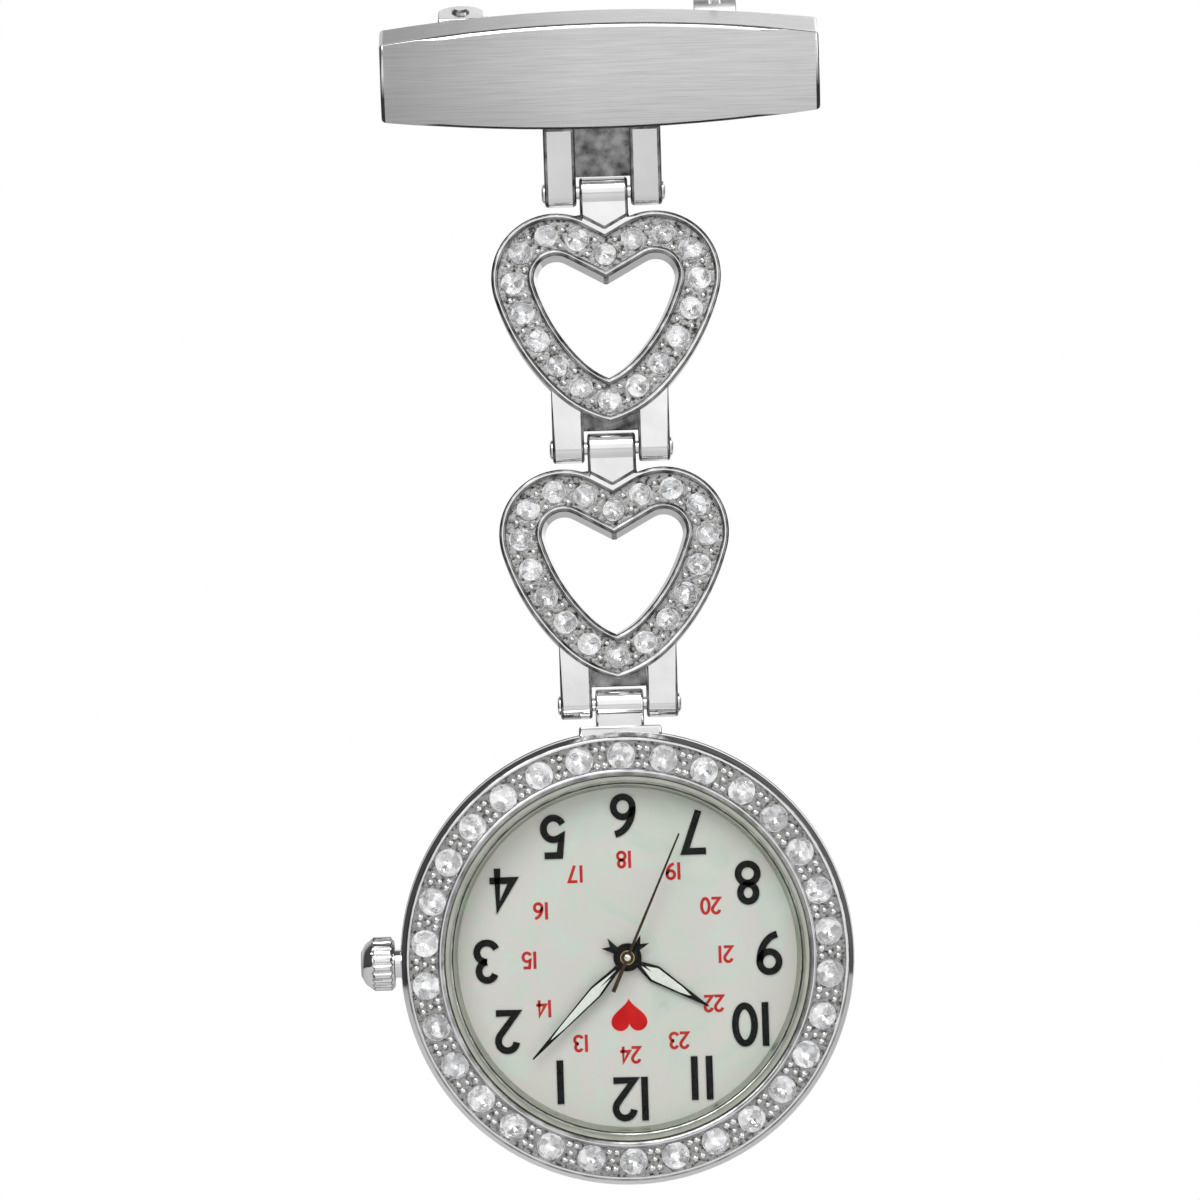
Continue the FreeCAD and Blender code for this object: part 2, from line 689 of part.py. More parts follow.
def bezel():
    """Stone-set ring: polished rims either side of a sunken floor, drilled for the stones."""
    ring = turned("bezel_ring", [
        ("dial_seat_radius + 0.05", "case_top + 0.02"), ("case_radius - 0.37", "case_top + 0.02"),
        ("case_radius - 0.03", "case_top + 0.4"), ("case_radius - 0.1", "bezel_top - 0.45"),
        ("case_radius - 0.45", "bezel_top"), ("case_radius - 0.62", "bezel_top"),
        ("case_radius - 0.66", "bezel_floor"), ("bezel_inner + 0.55", "bezel_floor"),
        ("bezel_inner + 0.5", "bezel_top"), ("bezel_inner + 0.15", "bezel_top"),
        ("bezel_inner", "bezel_top - 0.15"), ("bezel_inner", "crystal_bottom - 0.02"),
        ("bezel_inner - 0.5", "crystal_bottom - 0.02"), ("bezel_inner - 0.5", "crystal_bottom - 0.25"),
        ("dial_seat_radius + 0.05", "crystal_bottom - 0.25")])
    radius = size("bezel_stone")
    seats = [Part.makeCylinder(radius + 0.02, 0.7, spot - Vector(0, 0, 0.55))
             for spot in bezel_stone_places()]
    node(cut("bezel_drilled", ring, feature("bezel_seats", Part.makeCompound(seats))), "bezel", WATCH)
    stones = [gem(radius, spot, Vector(0, 0, 1)) for spot in bezel_stone_places()]
    node(feature("bezel_gems", Part.makeCompound(stones)), "bezel_stones", WATCH)


def bezel_stone_places():
    """Stone centres, the first towards 6, just above the bezel's floor."""
    ring = size("bezel_stone_ring")
    step = 360 / BEZEL_STONES
    return [Vector(ring * math.sin(math.radians(180 + step * number)),
                   ring * math.cos(math.radians(180 + step * number)),
                   size("bezel_floor") + 0.05) for number in range(BEZEL_STONES)]


def glass_and_dial():
    node(turned("crystal_disc", [
        ("0", "crystal_bottom"), ("crystal_radius", "crystal_bottom"),
        ("crystal_radius", "crystal_top - 0.2"), ("crystal_radius - 0.2", "crystal_top - 0.02"),
        ("crystal_radius - 2", "crystal_top"), ("0", "crystal_top")]), "crystal", WATCH)
    node(turned("crystal_seal", [
        ("crystal_radius + 0.02", "crystal_bottom"), ("bezel_inner - 0.02", "crystal_bottom"),
        ("bezel_inner - 0.02", "crystal_top - 0.35"), ("crystal_radius + 0.02", "crystal_top - 0.35")]),
         "crystal_gasket", WATCH)
    node(turned("flange", [
        ("flange_inner", "dial_top + 0.02"), ("dial_seat_radius - 0.05", "dial_top + 0.02"),
        ("dial_seat_radius - 0.05", "crystal_bottom - 0.3"),
        ("bezel_inner - 0.52", "crystal_bottom - 0.3"), ("bezel_inner - 0.52", "crystal_bottom - 0.03"),
        ("bezel_inner - 0.6", "crystal_bottom - 0.03")]),
         "flange_ring", WATCH)
    node(padded("dial_disc", "XY_Plane", "dial_top - dial_seat - 0.02", "dial_seat + 0.01",
                circles=[("dial_radius",), ("hour_tube + 0.2",)]), "dial", WATCH)


def case_back():
    """Push-fit back with a lip that holds its gasket, and a pry notch."""
    cover = turned("back_cover", [
        ("0", "back_bottom"), ("case_edge - 1.0", "back_bottom"),
        ("case_edge - 0.1", "case_bottom - 0.3"), ("case_edge - 0.3", "case_bottom - 0.02"),
        ("back_lip", "case_bottom - 0.02"), ("back_lip", "case_low - 0.05"),
        ("back_lip - 0.8", "case_low - 0.05"), ("back_lip - 0.8", "case_bottom"), ("0", "case_bottom")])
    notch = block("pry_notch", "0.8", "3", "0.35", ("case_edge - 0.7", "-1.5", "case_bottom - 0.4"))
    node(cut("back_notched", cover, notch), "case_back", WATCH)
    node(turned("back_seal", [
        ("back_lip - 1.2", "case_bottom + 0.02"), ("back_lip - 0.85", "case_bottom + 0.02"),
        ("back_lip - 0.85", "case_low - 0.02"), ("back_lip - 1.2", "case_low - 0.02")]),
         "case_back_gasket", WATCH)


def crown_parts():
    """Fluted crown on its stem, the fixed tube that guides it and the seal between them."""
    axis = Placement(Vector(0, 0, size("setting_stem_z")), ALONG_X)
    blank = turned("crown_blank", [
        ("0", "crown_start + 1.35"), ("crown_recess", "crown_start + 1.35"),
        ("crown_recess", "crown_start"), ("crown_radius - 0.25", "crown_start"),
        ("crown_radius", "crown_start + 0.25"), ("crown_radius", "crown_start + 1.35"),
        ("crown_radius - 0.45", "crown_start + 1.95"),
        ("crown_radius - 1.0", "crown_start + crown_length"), ("0", "crown_start + crown_length")])
    flute_ring = size("crown_radius + 0.06")
    start = size("crown_start")
    flutes = []
    for number in range(CROWN_FLUTES):
        angle = 2 * math.pi * number / CROWN_FLUTES
        centre = Vector(flute_ring * math.cos(angle), flute_ring * math.sin(angle), start - 0.1)
        flutes.append(Part.makeCylinder(size("flute_radius"), 1.9, centre))
    node(cut("crown_fluted", blank, feature("crown_flutes", Part.makeCompound(flutes))),
         "crown", WATCH.multiply(axis))
    node(turned("tube", [
        ("tube_bore", "case_bore - 0.05"), ("tube_radius", "case_bore - 0.05"),
        ("tube_radius", "crown_start + 1.1"), ("tube_bore", "crown_start + 1.1")]),
         "crown_tube", WATCH.multiply(axis))
    node(turned("crown_seal", [
        ("tube_radius + 0.05", "crown_start + 0.3"), ("crown_recess - 0.02", "crown_start + 0.3"),
        ("crown_recess - 0.02", "crown_start + 0.9"), ("tube_radius + 0.05", "crown_start + 0.9")]),
         "crown_gasket", WATCH.multiply(axis))


# ---------------------------------------------------------------- hand setting

CLUTCH_TEETH = 10
CLUTCH_MODULE = 0.14


def setting_work():
    """Stem with a square for the pinion and a groove for the lever, and both those parts."""
    axis = Placement(Vector(0, 0, size("setting_stem_z")), ALONG_X)
    shaft = turned("setting_shaft", [
        ("0", "shaft_start"), ("setting_stem_radius", "shaft_start"),
        ("setting_stem_radius", "groove_start"), ("groove_radius", "groove_start"),
        ("groove_radius", "groove_end"), ("setting_stem_radius", "groove_end"),
        ("setting_stem_radius", "crown_start + 1.33"), ("0", "crown_start + 1.33")])
    square = block("stem_square", "square_side", "square_side", "shaft_start - square_start + 0.2",
                   ("-square_side / 2", "-square_side / 2", "square_start"))
    node(fuse("stem_whole", shaft, square), "setting_stem", WATCH.multiply(axis))
    teeth = gear_shape(CLUTCH_TEETH, CLUTCH_MODULE, size("pinion_length"), size("pinion_start"))
    blank = feature("pinion_teeth", teeth)
    collar = cylinder("pinion_collar", "collar_radius", "0.3",
                      (0, 0, "pinion_start + pinion_length - 0.01"))
    square_hole = block("pinion_square", "square_room", "square_room", "2",
                        ("-square_room / 2", "-square_room / 2", "pinion_start - 0.25"))
    node(cut("pinion", fuse("pinion_blank", blank, collar), square_hole), "sliding_pinion",
         WATCH.multiply(axis))
    arm = padded("lever_arm", "XY_Plane", "lever_thick", "lever_level", [
        ("lever_x - 0.45", "lever_y"), ("groove_start - 0.05", "0.3"), ("groove_end + 0.05", "0.3"),
        ("lever_x + 0.45", "lever_y"), ("lever_x", "lever_y - 0.5")])
    stud = cylinder("lever_stud", "0.14", "lever_thick + 0.15",
                    ("(groove_start + groove_end) / 2", 0, "lever_level + 0.15"))
    bore = cylinder("lever_bore", "lever_post + pin_play", "1", ("lever_x", "lever_y", "lever_level - 0.45"))
    node(cut("lever", fuse("lever_blank", arm, stud), bore), "setting_lever", WATCH)


def gear_shape(teeth, module, thickness, height, bore=0.0):
    """Flat gear with rounded-off wedge teeth; one tooth of it points along +X."""
    root = module * (teeth / 2 - 1.1)
    tip = module * (teeth / 2 + 0.8)
    step = 360 / teeth
    corners = []
    for number in range(teeth):
        for radius, share in ((root, -0.3), (tip, -0.12), (tip, 0.12), (root, 0.3)):
            angle = math.radians(step * (number + share))
            corners.append(Vector(radius * math.cos(angle), radius * math.sin(angle), height))
    disc = Part.Face(Part.makePolygon(corners + corners[:1])).extrude(Vector(0, 0, thickness))
    if bore:
        disc = disc.cut(Part.makeCylinder(bore, thickness, Vector(0, 0, height)))
    return disc


def spoked(disc, hub, rim, height, count=4):
    """Cut round windows between a wheel's hub and rim."""
    middle = (hub + rim) / 2
    window = (rim - hub) / 2 * 0.8
    holes = [Part.makeCylinder(window, 1, Vector(
        middle * math.cos(math.radians(360 / count * (number + 0.5))),
        middle * math.sin(math.radians(360 / count * (number + 0.5))), height - 0.4))
        for number in range(count)]
    return disc.cut(Part.makeCompound(holes))


# ---------------------------------------------------------------- wheels of the movement

SECONDS_TEETH = 48
FIFTH_PINION = 8
FIFTH_TEETH = 40
ROTOR_PINION = 8
THIRD_TEETH = 60
FOURTH_PINION = 8
CENTER_TEETH = 64
THIRD_PINION = 8
CANNON_TEETH = 12
MINUTE_TEETH = 36
MINUTE_PINION = 10
HOUR_TEETH = 40
SETTING_TEETH = 16

TRAIN_MODULE = 0.08
SECONDS_MODULE = 0.1
ROTOR_MODULE = 0.07
MOTION_MODULE = 0.1

CENTER_LEVEL = -0.95
THIRD_LEVEL = -1.2
FOURTH_LEVEL = -1.5
FIFTH_LEVEL = -1.75
MOTION_LEVEL = -0.05
HOUR_LEVEL = 0.22

third_distance = TRAIN_MODULE * (THIRD_TEETH + FOURTH_PINION) / 2
center_module = 2 * third_distance / (CENTER_TEETH + THIRD_PINION)
fifth_distance = SECONDS_MODULE * (SECONDS_TEETH + FIFTH_PINION) / 2
rotor_distance = ROTOR_MODULE * (FIFTH_TEETH + ROTOR_PINION) / 2
minute_distance = MOTION_MODULE * (CANNON_TEETH + MINUTE_TEETH) / 2
hour_module = 2 * minute_distance / (HOUR_TEETH + MINUTE_PINION)
setting_distance = MOTION_MODULE * (MINUTE_TEETH + SETTING_TEETH) / 2

THIRD_ANGLE = 45
FIFTH_ANGLE = 150
SETTING_ANGLE = 60
COIL_ANGLE = 135
BATTERY_ANGLE = 225


def spot(distance, degrees, z=0.0, base=Vector()):
    """Point at a distance and angle from a base, in the watch frame."""
    angle = math.radians(degrees)
    return base + Vector(distance * math.cos(angle), distance * math.sin(angle), z)


third_axis = spot(third_distance, THIRD_ANGLE)
fifth_axis = spot(fifth_distance, FIFTH_ANGLE)
rotor_axis = spot(rotor_distance, FIFTH_ANGLE, 0, fifth_axis)
minute_axis = spot(minute_distance, 0)
setting_axis = spot(setting_distance, SETTING_ANGLE, 0, minute_axis)


def mesh_turn(teeth, other_teeth, direction, other_turn):
    """Turn that puts a gear's gap where the other gear has its tooth, seen from the other gear."""
    other_phase = (direction - other_turn) * other_teeth / 360
    return direction + 180 - (0.5 - other_phase) * 360 / teeth


def arbor(radius, low, high, axis=Vector()):
    return Part.makeCylinder(radius, high - low, Vector(axis.x, axis.y, low))


def turned_gear(shape, axis, degrees):
    shape.rotate(Vector(), Vector(0, 0, 1), degrees)
    shape.translate(axis)
    return shape


def wheels():
    """Going train from the rotor to the hands, and the motion work under the dial."""
    thick = size("wheel_thick")
    low_pivot = size("bridge_top") - 0.25
    high_pivot = size("plate_bottom") + 0.3
    pivot = size("pivot_radius")

    seconds_arbor = size("arbor_radius")
    fourth = spoked(gear_shape(SECONDS_TEETH, SECONDS_MODULE, thick, FOURTH_LEVEL), 0.5, 2.1, FOURTH_LEVEL)
    fourth_pinion = gear_shape(FOURTH_PINION, TRAIN_MODULE, 0.3, THIRD_LEVEL - 0.1)
    fourth = fourth.fuse([fourth_pinion, arbor(seconds_arbor, low_pivot, size("second_level") + 0.1)])
    node(feature("fourth", fourth), "fourth_wheel", WATCH)

    third_turn = mesh_turn(THIRD_TEETH, FOURTH_PINION, THIRD_ANGLE, 0)
    third = spoked(gear_shape(THIRD_TEETH, TRAIN_MODULE, thick, THIRD_LEVEL), 0.5, 2.1, THIRD_LEVEL)
    third = turned_gear(third, third_axis, third_turn)
    third_pinion_turn = mesh_turn(THIRD_PINION, CENTER_TEETH, THIRD_ANGLE, 0)
    third_pinion = turned_gear(gear_shape(THIRD_PINION, center_module, 0.35, CENTER_LEVEL - 0.15),
                               third_axis, third_pinion_turn)
    third = third.fuse([third_pinion, arbor(pivot, low_pivot, high_pivot, third_axis)])
    node(feature("third", third), "third_wheel", WATCH)

    cannon = size("cannon_radius")
    cannon_bore = size("cannon_bore")
    center = spoked(gear_shape(CENTER_TEETH, center_module, thick, CENTER_LEVEL), 0.8, 2.2, CENTER_LEVEL)
    cannon_pinion = gear_shape(CANNON_TEETH, MOTION_MODULE, 0.2, MOTION_LEVEL)
    center = center.fuse([cannon_pinion, arbor(cannon, CENTER_LEVEL, size("minute_level") + 0.12)])
    center = center.cut(arbor(cannon_bore, CENTER_LEVEL - 1, 3))
    node(feature("center", center), "center_wheel", WATCH)

    fifth_turn = mesh_turn(FIFTH_PINION, SECONDS_TEETH, FIFTH_ANGLE, 0)
    fifth = turned_gear(gear_shape(FIFTH_TEETH, ROTOR_MODULE, thick, FIFTH_LEVEL), fifth_axis, 0)
    fifth_pinion = turned_gear(gear_shape(FIFTH_PINION, SECONDS_MODULE, 0.35, FOURTH_LEVEL - 0.12),
                               fifth_axis, fifth_turn)
    fifth = fifth.fuse([fifth_pinion, arbor(pivot, low_pivot, high_pivot, fifth_axis)])
    node(feature("fifth", fifth), "fifth_wheel", WATCH)

    rotor_turn = mesh_turn(ROTOR_PINION, FIFTH_TEETH, FIFTH_ANGLE, 0)
    rotor_pinion = turned_gear(gear_shape(ROTOR_PINION, ROTOR_MODULE, 0.35, FIFTH_LEVEL - 0.1),
                               rotor_axis, rotor_turn)
    stator_low = size("stator_level")
    magnet = arbor(size("magnet_radius"), stator_low, stator_low + size("stator_thick"), rotor_axis)
    rotor_arbor = arbor(size("rotor_pivot"), low_pivot, high_pivot, rotor_axis)
    node(feature("rotor_part", magnet.fuse([rotor_pinion, rotor_arbor])), "rotor", WATCH)

    minute_turn = mesh_turn(MINUTE_TEETH, CANNON_TEETH, 0, 0)
    minute = turned_gear(gear_shape(MINUTE_TEETH, MOTION_MODULE, thick, MOTION_LEVEL),
                         minute_axis, minute_turn)
    minute_pinion_turn = mesh_turn(MINUTE_PINION, HOUR_TEETH, 0, 0)
    minute_pinion = turned_gear(gear_shape(MINUTE_PINION, hour_module, 0.35, MOTION_LEVEL + 0.14),
                                minute_axis, minute_pinion_turn)
    minute = minute.fuse(minute_pinion).cut(arbor(size("pivot_hole"), -1, 1, minute_axis))
    node(feature("minute_work", minute), "minute_wheel", WATCH)

    hour = gear_shape(HOUR_TEETH, hour_module, 0.18, HOUR_LEVEL)
    hour = hour.fuse(arbor(size("hour_tube"), HOUR_LEVEL, size("hour_level") + 0.12))
    hour = hour.cut(arbor(size("hour_bore"), HOUR_LEVEL - 1, 3))
    node(feature("hour_work", hour), "hour_wheel", WATCH)

    setting_turn = mesh_turn(SETTING_TEETH, MINUTE_TEETH, SETTING_ANGLE, minute_turn)
    setting = turned_gear(gear_shape(SETTING_TEETH, MOTION_MODULE, thick, MOTION_LEVEL, size("pivot_hole")),
                          setting_axis, setting_turn)
    node(feature("setting", setting), "setting_wheel", WATCH)


# ---------------------------------------------------------------- hands

HOUR_TURN = -303.8
MINUTE_TURN = -45.4
SECOND_TURN = -204.0


def hand_frame(turn):
    """Hands are drawn pointing at 12 and turned to the time shown."""
    return WATCH.multiply(Placement(Vector(), Rotation(Vector(0, 0, 1), turn)))


def leaf_hand(name, label, turn, level, length, half_width, hub, bore, tail):
    """Leaf-shaped hand with a round hub, a window for the luminous fill and a small tail."""
    blade = padded(name + "_blade", "XY_Plane", "hand_thick", level, [
        ("-0.12", f"{length}"), (f"-({half_width})", f"{length} * 0.36"), ("-0.22", "0.3"),
        ("-0.36", f"-({tail})"), ("0", f"-({tail}) + 0.35"), ("0.36", f"-({tail})"),
        ("0.22", "0.3"), (half_width, f"{length} * 0.36"), ("0.12", f"{length}")])
    disc = cylinder(name + "_hub", hub, "hand_thick", (0, 0, level))
    hole = cylinder(name + "_bore", bore, "1", (0, 0, f"{level} - 0.4"))
    node(cut(name + "_hand", fuse(name + "_whole", blade, disc), hole), label, hand_frame(turn))


def hands():
    leaf_hand("hour", "hour_hand", HOUR_TURN, "hour_level", "6.3", "0.62", "hour_tube + 0.35",
              "hour_tube + 0.005", "1.85")
    leaf_hand("minute", "minute_hand", MINUTE_TURN, "minute_level", "9.25", "0.52",
              "cannon_radius + 0.45", "cannon_radius + 0.005", "1.75")
    needle = padded("second_needle", "XY_Plane", "hand_thick * 0.8", "second_level", [
        ("-0.04", "9"), ("-0.1", "0.2"), ("-0.22", "-2.5"),
        ("0.22", "-2.5"), ("0.1", "0.2"), ("0.04", "9")])
    disc = cylinder("second_hub", "0.42", "hand_thick * 0.8", (0, 0, "second_level"))
    hole = cylinder("second_bore", "arbor_radius + 0.005", "1", (0, 0, "second_level - 0.4"))
    node(cut("second_whole", fuse("second_blank", needle, disc), hole), "second_hand",
         hand_frame(SECOND_TURN))


# ---------------------------------------------------------------- movement structure

PILLARS = [(4.9, 3.4), (1.5, -4.6), (-3.9, -0.6)]


def movement_holder():
    """Plastic ring between movement and case, slotted for the setting stem."""
    ring = turned("holder_ring", [
        ("movement_radius + 0.1", "holder_low"), ("case_bore - 0.1", "holder_low"),
        ("case_bore - 0.1", "dial_seat - 0.05"), ("movement_radius + 0.1", "dial_seat - 0.05")])
    slot = block("holder_slot", "3", "2.2", "2.6", ("movement_radius - 0.5", -1.1, "holder_low - 0.1"))
    node(cut("holder", ring, slot), "movement_holder", WATCH)


def main_plate():
    """Disc with pivot holes, posts, bridge pillars and a slot for the stem and pinion."""
    disc = cylinder("plate_disc", "movement_radius", "plate_top - plate_bottom", (0, 0, "plate_bottom"))
    posts = [cylinder(f"pillar_{number}", "pillar_radius", "plate_bottom - bridge_top - 0.01",
                      (x, y, "bridge_top + 0.01")) for number, (x, y) in enumerate(PILLARS)]
    posts.append(cylinder("lever_stand", "lever_post", "plate_bottom - lever_level + 0.15",
                          ("lever_x", "lever_y", "lever_level - 0.1")))
    for name, axis in (("minute_post", minute_axis), ("setting_post", setting_axis)):
        posts.append(cylinder(name, "post_radius", "0.25 - plate_top", (axis.x, axis.y, "plate_top - 0.1")))
    holes = [cylinder("center_hole", "cannon_radius + 0.08", "1", (0, 0, "plate_bottom - 0.2")),
             block("stem_slot", "6", "1.9", "1", ("square_start - 0.1", -0.95, "plate_bottom - 0.2"))]
    for name, axis, radius in (("third_pivot", third_axis, "pivot_hole"),
                               ("fifth_pivot", fifth_axis, "pivot_hole"),
                               ("rotor_bearing", rotor_axis, "rotor_hole")):
        holes.append(cylinder(name, radius, "0.5", (axis.x, axis.y, "plate_bottom - 0.1")))
    for number, (x, y) in enumerate(PILLARS):
        holes.append(cylinder(f"pillar_hole_{number}", "screw_radius + 0.01", "0.8",
                              (x, y, "bridge_top - 0.2")))
    node(cut("plate", fuse("plate_blank", disc, *posts), *holes), "main_plate", WATCH)


def coil_frame():
    """Frame of the coil: x along it, y outwards from the watch's centre."""
    return Placement(Vector(), Rotation(Vector(0, 0, 1), COIL_ANGLE - 90))


def train_bridge():
    """Plate under the wheels, clear of the battery and the coil, held by three screws."""
    disc = cylinder("bridge_disc", "bridge_radius", "bridge_top - bridge_bottom", (0, 0, "bridge_bottom"))
    battery = spot(size("battery_far"), BATTERY_ANGLE)
    battery_room = cylinder("battery_room", "battery_radius + 0.15", "1",
                            (battery.x, battery.y, "bridge_bottom - 0.35"))
    corner = coil_frame().multVec(Vector(-8, size("coil_far - 1.1"), size("bridge_bottom - 0.35")))
    coil_room = primitive("Box", "coil_room", corner, coil_frame().Rotation,
                          Length="16", Width="4", Height="1")
    holes = []
    for name, axis, radius in (("low_third", third_axis, "pivot_hole"),
                               ("low_fifth", fifth_axis, "pivot_hole"),
                               ("low_rotor", rotor_axis, "rotor_hole"),
                               ("low_fourth", Vector(), "arbor_radius + pin_play")):
        holes.append(cylinder(name, radius, "0.5", (axis.x, axis.y, "bridge_top - 0.27")))
    for number, (x, y) in enumerate(PILLARS):
        holes.append(cylinder(f"bridge_hole_{number}", "screw_radius + 0.06", "1",
                              (x, y, "bridge_bottom - 0.35")))
    node(cut("bridge", disc, battery_room, coil_room, *holes), "train_bridge", WATCH)
    screws = [cylinder(f"screw_shank_{number}", "screw_radius", "0.6", (x, y, "screw_low + 0.16"))
              for number, (x, y) in enumerate(PILLARS)]
    screws += [cylinder(f"screw_head_{number}", "screw_head", "0.2", (x, y, "screw_low"))
               for number, (x, y) in enumerate(PILLARS)]
    slots = [block(f"screw_slot_{number}", "1.2", "0.14", "0.2", (x - 0.6, y - 0.07, "screw_low - 0.1"))
             for number, (x, y) in enumerate(PILLARS)]
    node(cut("screws", fuse("screw_blanks", *screws), *slots), "bridge_screws", WATCH)


def electrics():
    """Cell and its spring clip, coil on its core, stator, circuit board, crystal and chip."""
    battery = spot(size("battery_far"), BATTERY_ANGLE)
    cell = turned("cell", [
        ("0", "battery_bottom"), ("battery_radius - 0.1", "battery_bottom"),
        ("battery_radius", "battery_bottom + 0.1"), ("battery_radius", "battery_top - 0.25"),
        ("battery_radius - 0.5", "battery_top - 0.15"), ("battery_radius - 0.6", "battery_top"),
        ("0", "battery_top")])
    node(cell, "battery", WATCH.multiply(Placement(battery, UPRIGHT)))
    strip = padded("clip_strip", "XY_Plane", "clip_thick", "clip_level", [
        ("-7.2", "-4.6"), ("-6.6", "-6.0"), ("-1.2", "-6.4"), ("1.4", "-7.6"), ("1.9", "-7.0"),
        ("-0.6", "-5.2")])
    tab = block("clip_tab", "0.7", "0.5", "2 * clip_thick", (1.0, -7.55, "clip_level + clip_thick / 2"))
    node(fuse("clip", strip, tab), "battery_clip", WATCH)

    winding = cylinder("winding", "coil_radius", "coil_length",
                       ("-coil_length / 2", "coil_far", "coil_level"), ALONG_X)
    cheeks = [block(f"cheek_{number}", "0.25", "1.8", "1.6", (x, "coil_far - 0.9", "coil_level - 0.85"))
              for number, x in enumerate(("-coil_length / 2 - 0.2", "coil_length / 2 - 0.05"))]
    node(fuse("coil_body", winding, *cheeks), "coil", WATCH.multiply(coil_frame()))

    yoke = padded("yoke", "XY_Plane", "stator_thick", "stator_level", [
        ("-4.1", "3.2"), ("4.1", "3.2"), ("4.1", "6.7"), ("3.3", "6.7"), ("3.3", "5.1"),
        ("-3.3", "5.1"), ("-3.3", "6.7"), ("-4.1", "6.7")])
    in_coil_frame = coil_frame().inverse().multVec(rotor_axis)
    magnet_hole = cylinder("magnet_hole", "magnet_room", "1",
                           (in_coil_frame.x, in_coil_frame.y, "stator_level - 0.3"))
    node(cut("stator_plate", yoke, magnet_hole), "stator", WATCH.multiply(coil_frame()))

    node(padded("board", "XY_Plane", "board_thick", "board_level", [
        ("0.6", "-8.85", "-8.87"), ("8.5", "-2.5"), ("6.5", "-2.3", "6.9"), ("0.3", "-6.9")]),
         "circuit_board", WATCH)
    across = Placement(Vector(3.96, -6.93, -1.8), turned_to((1, 1, 0)))
    node(cylinder("can", "can_radius", "can_length"), "quartz_can", WATCH.multiply(across))
    dome = turned("chip_dome", [
        ("0", "board_level + 0.21"), ("0.85", "board_level + 0.21"), ("0.6", "board_level + 0.55"),
        ("0", "board_level + 0.7")])
    node(dome, "ic_blob", WATCH.multiply(Placement(Vector(1.6, -8.0, 0), UPRIGHT)))


# ---------------------------------------------------------------- assembly

brooch_bar()
pin_base_plate()
pin_stem()
pin_rivet()
catch()
bar_fork()
for label, frame in zip(("upper", "middle", "lower"), LINK_FRAMES):
    hinge_pin(label + "_hinge_pin", frame)
for label, frame in zip(("upper_heart", "lower_heart"), LINK_FRAMES):
    heart_link(label, frame)
case_body()
bezel()
glass_and_dial()
case_back()
crown_parts()
setting_work()
wheels()
hands()
movement_holder()
main_plate()
train_bridge()
electrics()

doc.recompute()
failed = [item.Label for item in doc.Objects if "Invalid" in item.State or "Error" in item.State]
if failed:
    raise RuntimeError("objects that did not recompute: " + ", ".join(failed))
for item in nodes:
    if item.Shape.isNull() or not item.Shape.isValid() or not item.Shape.Solids:
        raise RuntimeError("bad shape: " + item.Label)

os.makedirs("parts", exist_ok=True)
for item in nodes:
    item.Shape.exportStep(f"parts/{item.Label}.step")
print(len(nodes), "nodes")
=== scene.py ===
import json
import math
import random

import bmesh
import bpy
import numpy as np
from mathutils import Matrix, Vector

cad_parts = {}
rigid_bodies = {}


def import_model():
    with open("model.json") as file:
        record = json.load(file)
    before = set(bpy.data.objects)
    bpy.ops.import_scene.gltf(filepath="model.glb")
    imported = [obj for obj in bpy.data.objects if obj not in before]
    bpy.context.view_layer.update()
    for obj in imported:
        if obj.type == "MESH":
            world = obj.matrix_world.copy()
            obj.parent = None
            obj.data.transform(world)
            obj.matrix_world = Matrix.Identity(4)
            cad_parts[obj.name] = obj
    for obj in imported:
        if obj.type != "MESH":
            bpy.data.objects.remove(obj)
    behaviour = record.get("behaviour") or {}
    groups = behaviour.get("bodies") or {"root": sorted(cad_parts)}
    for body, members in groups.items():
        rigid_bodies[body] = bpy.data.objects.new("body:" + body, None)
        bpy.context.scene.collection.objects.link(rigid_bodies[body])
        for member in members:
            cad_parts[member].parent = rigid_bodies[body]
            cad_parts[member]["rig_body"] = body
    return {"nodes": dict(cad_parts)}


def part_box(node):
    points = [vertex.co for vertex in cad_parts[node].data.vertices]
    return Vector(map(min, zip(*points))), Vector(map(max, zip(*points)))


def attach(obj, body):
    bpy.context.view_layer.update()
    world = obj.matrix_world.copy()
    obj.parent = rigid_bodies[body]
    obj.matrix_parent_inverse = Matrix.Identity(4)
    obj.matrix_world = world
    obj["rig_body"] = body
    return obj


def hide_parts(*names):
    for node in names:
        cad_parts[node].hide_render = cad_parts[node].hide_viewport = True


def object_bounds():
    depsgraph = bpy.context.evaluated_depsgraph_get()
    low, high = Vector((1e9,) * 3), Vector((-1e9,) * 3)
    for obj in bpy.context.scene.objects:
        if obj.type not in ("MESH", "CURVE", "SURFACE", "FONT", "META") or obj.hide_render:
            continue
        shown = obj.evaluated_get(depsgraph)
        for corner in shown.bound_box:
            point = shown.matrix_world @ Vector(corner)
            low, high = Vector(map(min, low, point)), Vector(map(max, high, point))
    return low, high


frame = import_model()
cad_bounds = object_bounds()

# Metres, in the CAD frame: +Z up, front towards -Y, +X to the viewer's right.
MM = 0.001
FRONT = Vector((0, -1, 0))
UP = Vector((0, 0, 1))

random.seed(7)


# ---------------------------------------------------------------- places taken from the CAD

def middle(node):
    """Centre of a CAD node's box."""
    low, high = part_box(node)
    return (low + high) / 2


dial_low, dial_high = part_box("dial")
DIAL_RADIUS = (dial_high.x - dial_low.x) / 2
WATCH_CENTRE = middle("dial")
DIAL_FACE = -dial_low.y


def on_dial(x, y, height):
    """Point from dial coordinates: x towards 3, y towards 12, height out of the glass."""
    return Vector((WATCH_CENTRE.x - x, -height, WATCH_CENTRE.z - y))


# ---------------------------------------------------------------- materials

